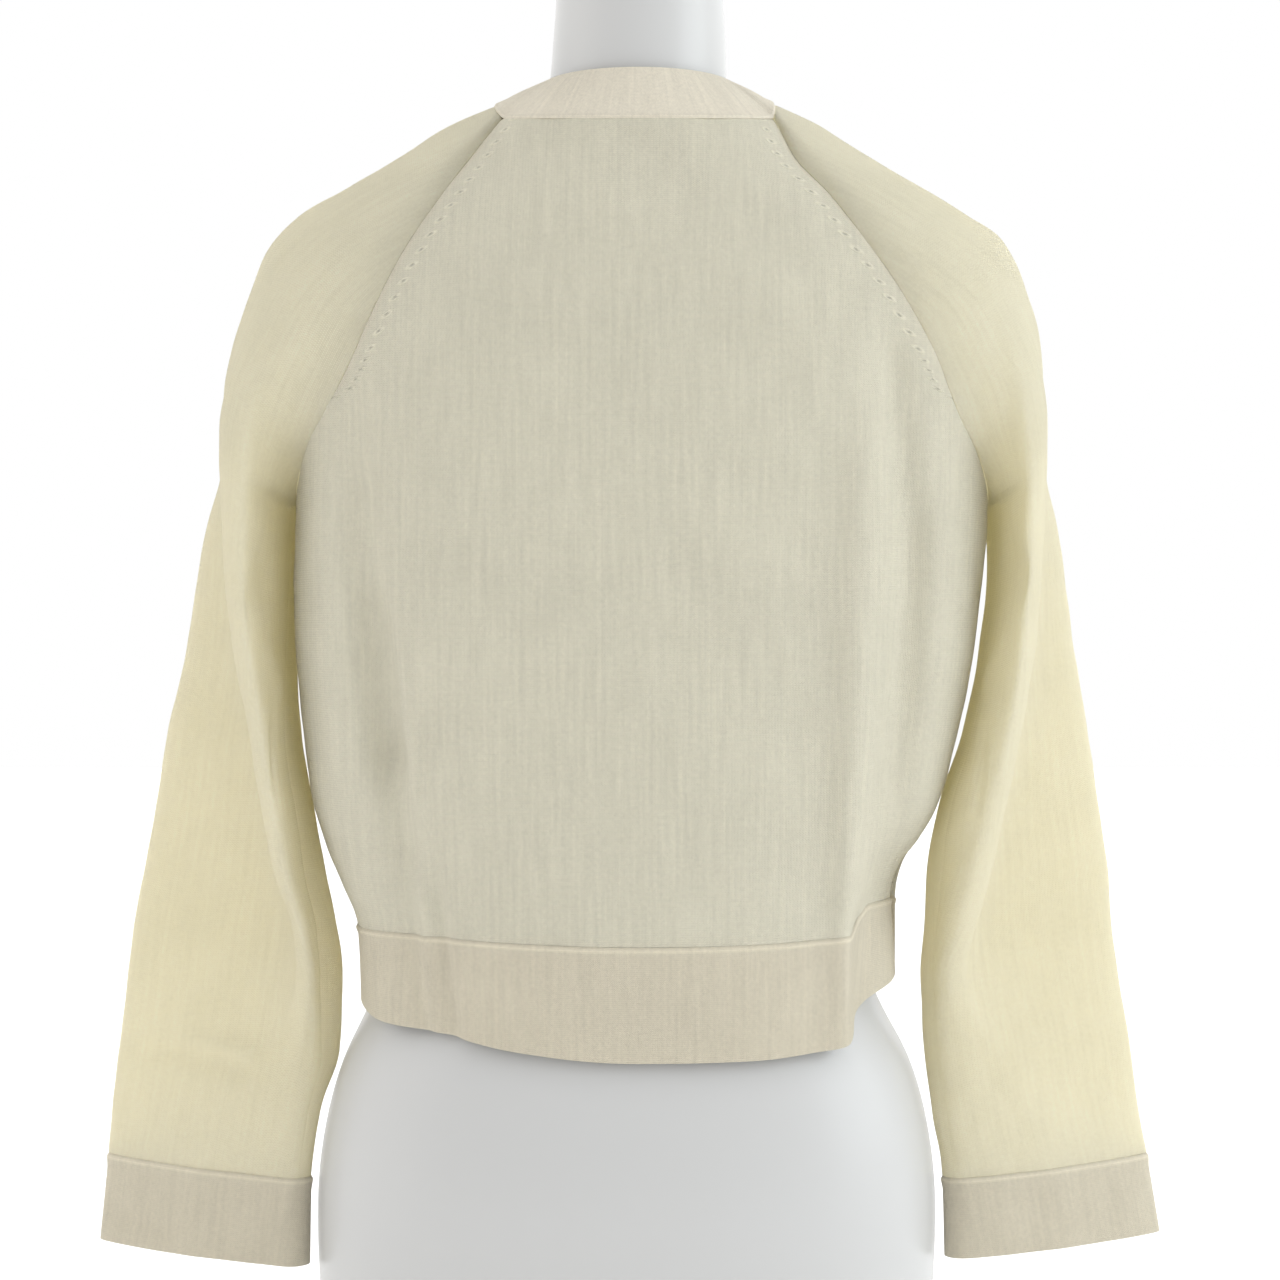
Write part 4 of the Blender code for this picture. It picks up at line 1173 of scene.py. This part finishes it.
def pearlFinish():
    finish, tree, where = newFinish("buttonPearl")
    swirl = noise(tree, where, Scale=160.0, Detail=2.0, Distortion=1.5)
    colour = mixColour(tree, swirl, (0.86, 0.83, 0.74, 1), (0.70, 0.66, 0.55, 1))
    surface = node(tree, "ShaderNodeBsdfPrincipled", sockets={
        "Base Color": colour, "Roughness": swirl * 0.12 + 0.16, "Coat Weight": 0.3,
        "Coat Roughness": 0.08})
    return finished(finish, surface)


def formFinish():
    finish, tree, where = newFinish("formGloss")
    cloud = noise(tree, where, Scale=5.0, Detail=0.0)
    return finished(finish, node(tree, "ShaderNodeBsdfPrincipled", sockets={
        "Base Color": (0.53, 0.53, 0.525, 1), "Roughness": cloud * 0.04 + 0.30}))


light = {  # the studio's white walls, brighter towards three sides, and two soft boxes
    "level": 0.94,
    "fromRight": 0.12,
    "fromBehind": 0.42,
    "fromAbove": 0.45,
    "boxes": [  # place, aim, size, watts and colour
        ((2.2, -0.6, 1.0), (0, 0, 0.4), 1.6, 20.0, (0.88, 0.96, 1.0)),
        ((-2.2, -0.5, 0.8), (0, 0, 0.35), 2.0, 8.0, (1.0, 0.97, 0.90)),
    ],
}
view = {"eye": (0.0, -1.3, 0.378), "sensor": 36, "lens": 36 * 2476 / 1280}
floorSize = 12
floorDrop = 0.0005


def buildLight():
    world = bpy.data.worlds.new("studio")
    bpy.context.scene.world = world
    world.use_nodes = True
    tree = world.node_tree
    tree.nodes.clear()
    ray = node(tree, "ShaderNodeTexCoord")
    split = node(tree, "ShaderNodeSeparateXYZ", sockets=(Sock(tree, ray.outputs["Generated"]),))
    x, y, z = (Sock(tree, split.outputs[k]) for k in range(3))
    strength = x * light["fromRight"] + y * light["fromBehind"] + z * light["fromAbove"]
    strength = strength + light["level"]
    seen = Sock(tree, node(tree, "ShaderNodeLightPath").outputs["Is Camera Ray"])
    strength = strength * (1 - seen) + seen
    back = node(tree, "ShaderNodeBackground", sockets={"Color": (1, 1, 1, 1), "Strength": strength})
    node(tree, "ShaderNodeOutputWorld", sockets=(Sock(tree, back.outputs[0]),))
    for place, aim, size, watts, colour in light["boxes"]:
        data = bpy.data.lights.new("softbox", "AREA")
        data.size, data.energy, data.color = size, watts, colour
        box = newObject("softbox", data)
        box.location = place
        box.rotation_euler = (Vector(place) - Vector(aim)).to_track_quat("Z", "Y").to_euler()
    print("light", len(light["boxes"]))


def buildFloor():
    bpy.ops.mesh.primitive_plane_add(size=floorSize, location=(0, 0, -floorDrop))
    floor = bpy.context.object
    floor.name = "floor"
    finish, tree, _ = newFinish("floorWhite")
    surface = node(tree, "ShaderNodeBsdfPrincipled", sockets={
        "Base Color": (0.8, 0.8, 0.8, 1), "Roughness": 0.6,
        "Emission Color": (1, 1, 1, 1), "Emission Strength": 0.3})
    floor.data.materials.append(finished(finish, surface))
    print("floor", floorSize)


def buildCamera():
    data = bpy.data.cameras.new("camera")
    data.lens = view["lens"]
    data.sensor_width = view["sensor"]
    camera = newObject("camera", data)
    camera.location = view["eye"]
    camera.rotation_euler = (pi / 2, 0, 0)
    bpy.context.scene.camera = camera
    print("camera", view["eye"])


finishes = {
    "body": knitFinish("bodyKnit", knit["body"], knit["panelGauge"], through=0.15),
    # the sleeves' lighter, warmer colour paints the glow of light through them, on top of their
    # real translucency
    "sleeve": knitFinish("sleeveKnitPaintedGlow", knit["sleeve"], knit["panelGauge"], through=0.54),
    # the bands' lighter line along the raised seam bead is a painted highlight
    "band": knitFinish("bandKnit", knit["band"], knit["bandGauge"], 0.12, 0.7, beadHighlightAndSeamLine=0.22),
    "front": knitFinish("frontBandKnit", knit["band"], knit["bandGauge"], 0.12, 0.7),
    # the neckband's lighter colour paints the light from above on it
    "neck": knitFinish("neckKnitPaintedLight", knit["neck"], knit["neckGauge"], 0.12, 1.2, beadHighlightAndSeamLine=-0.05),
}
bpy.context.scene.view_settings.view_transform = "Standard"
buildCloth(finishes)
buildButtons(pearlFinish(), finishes["front"])
buildForm(formFinish())
buildFloor()
buildLight()
buildCamera()
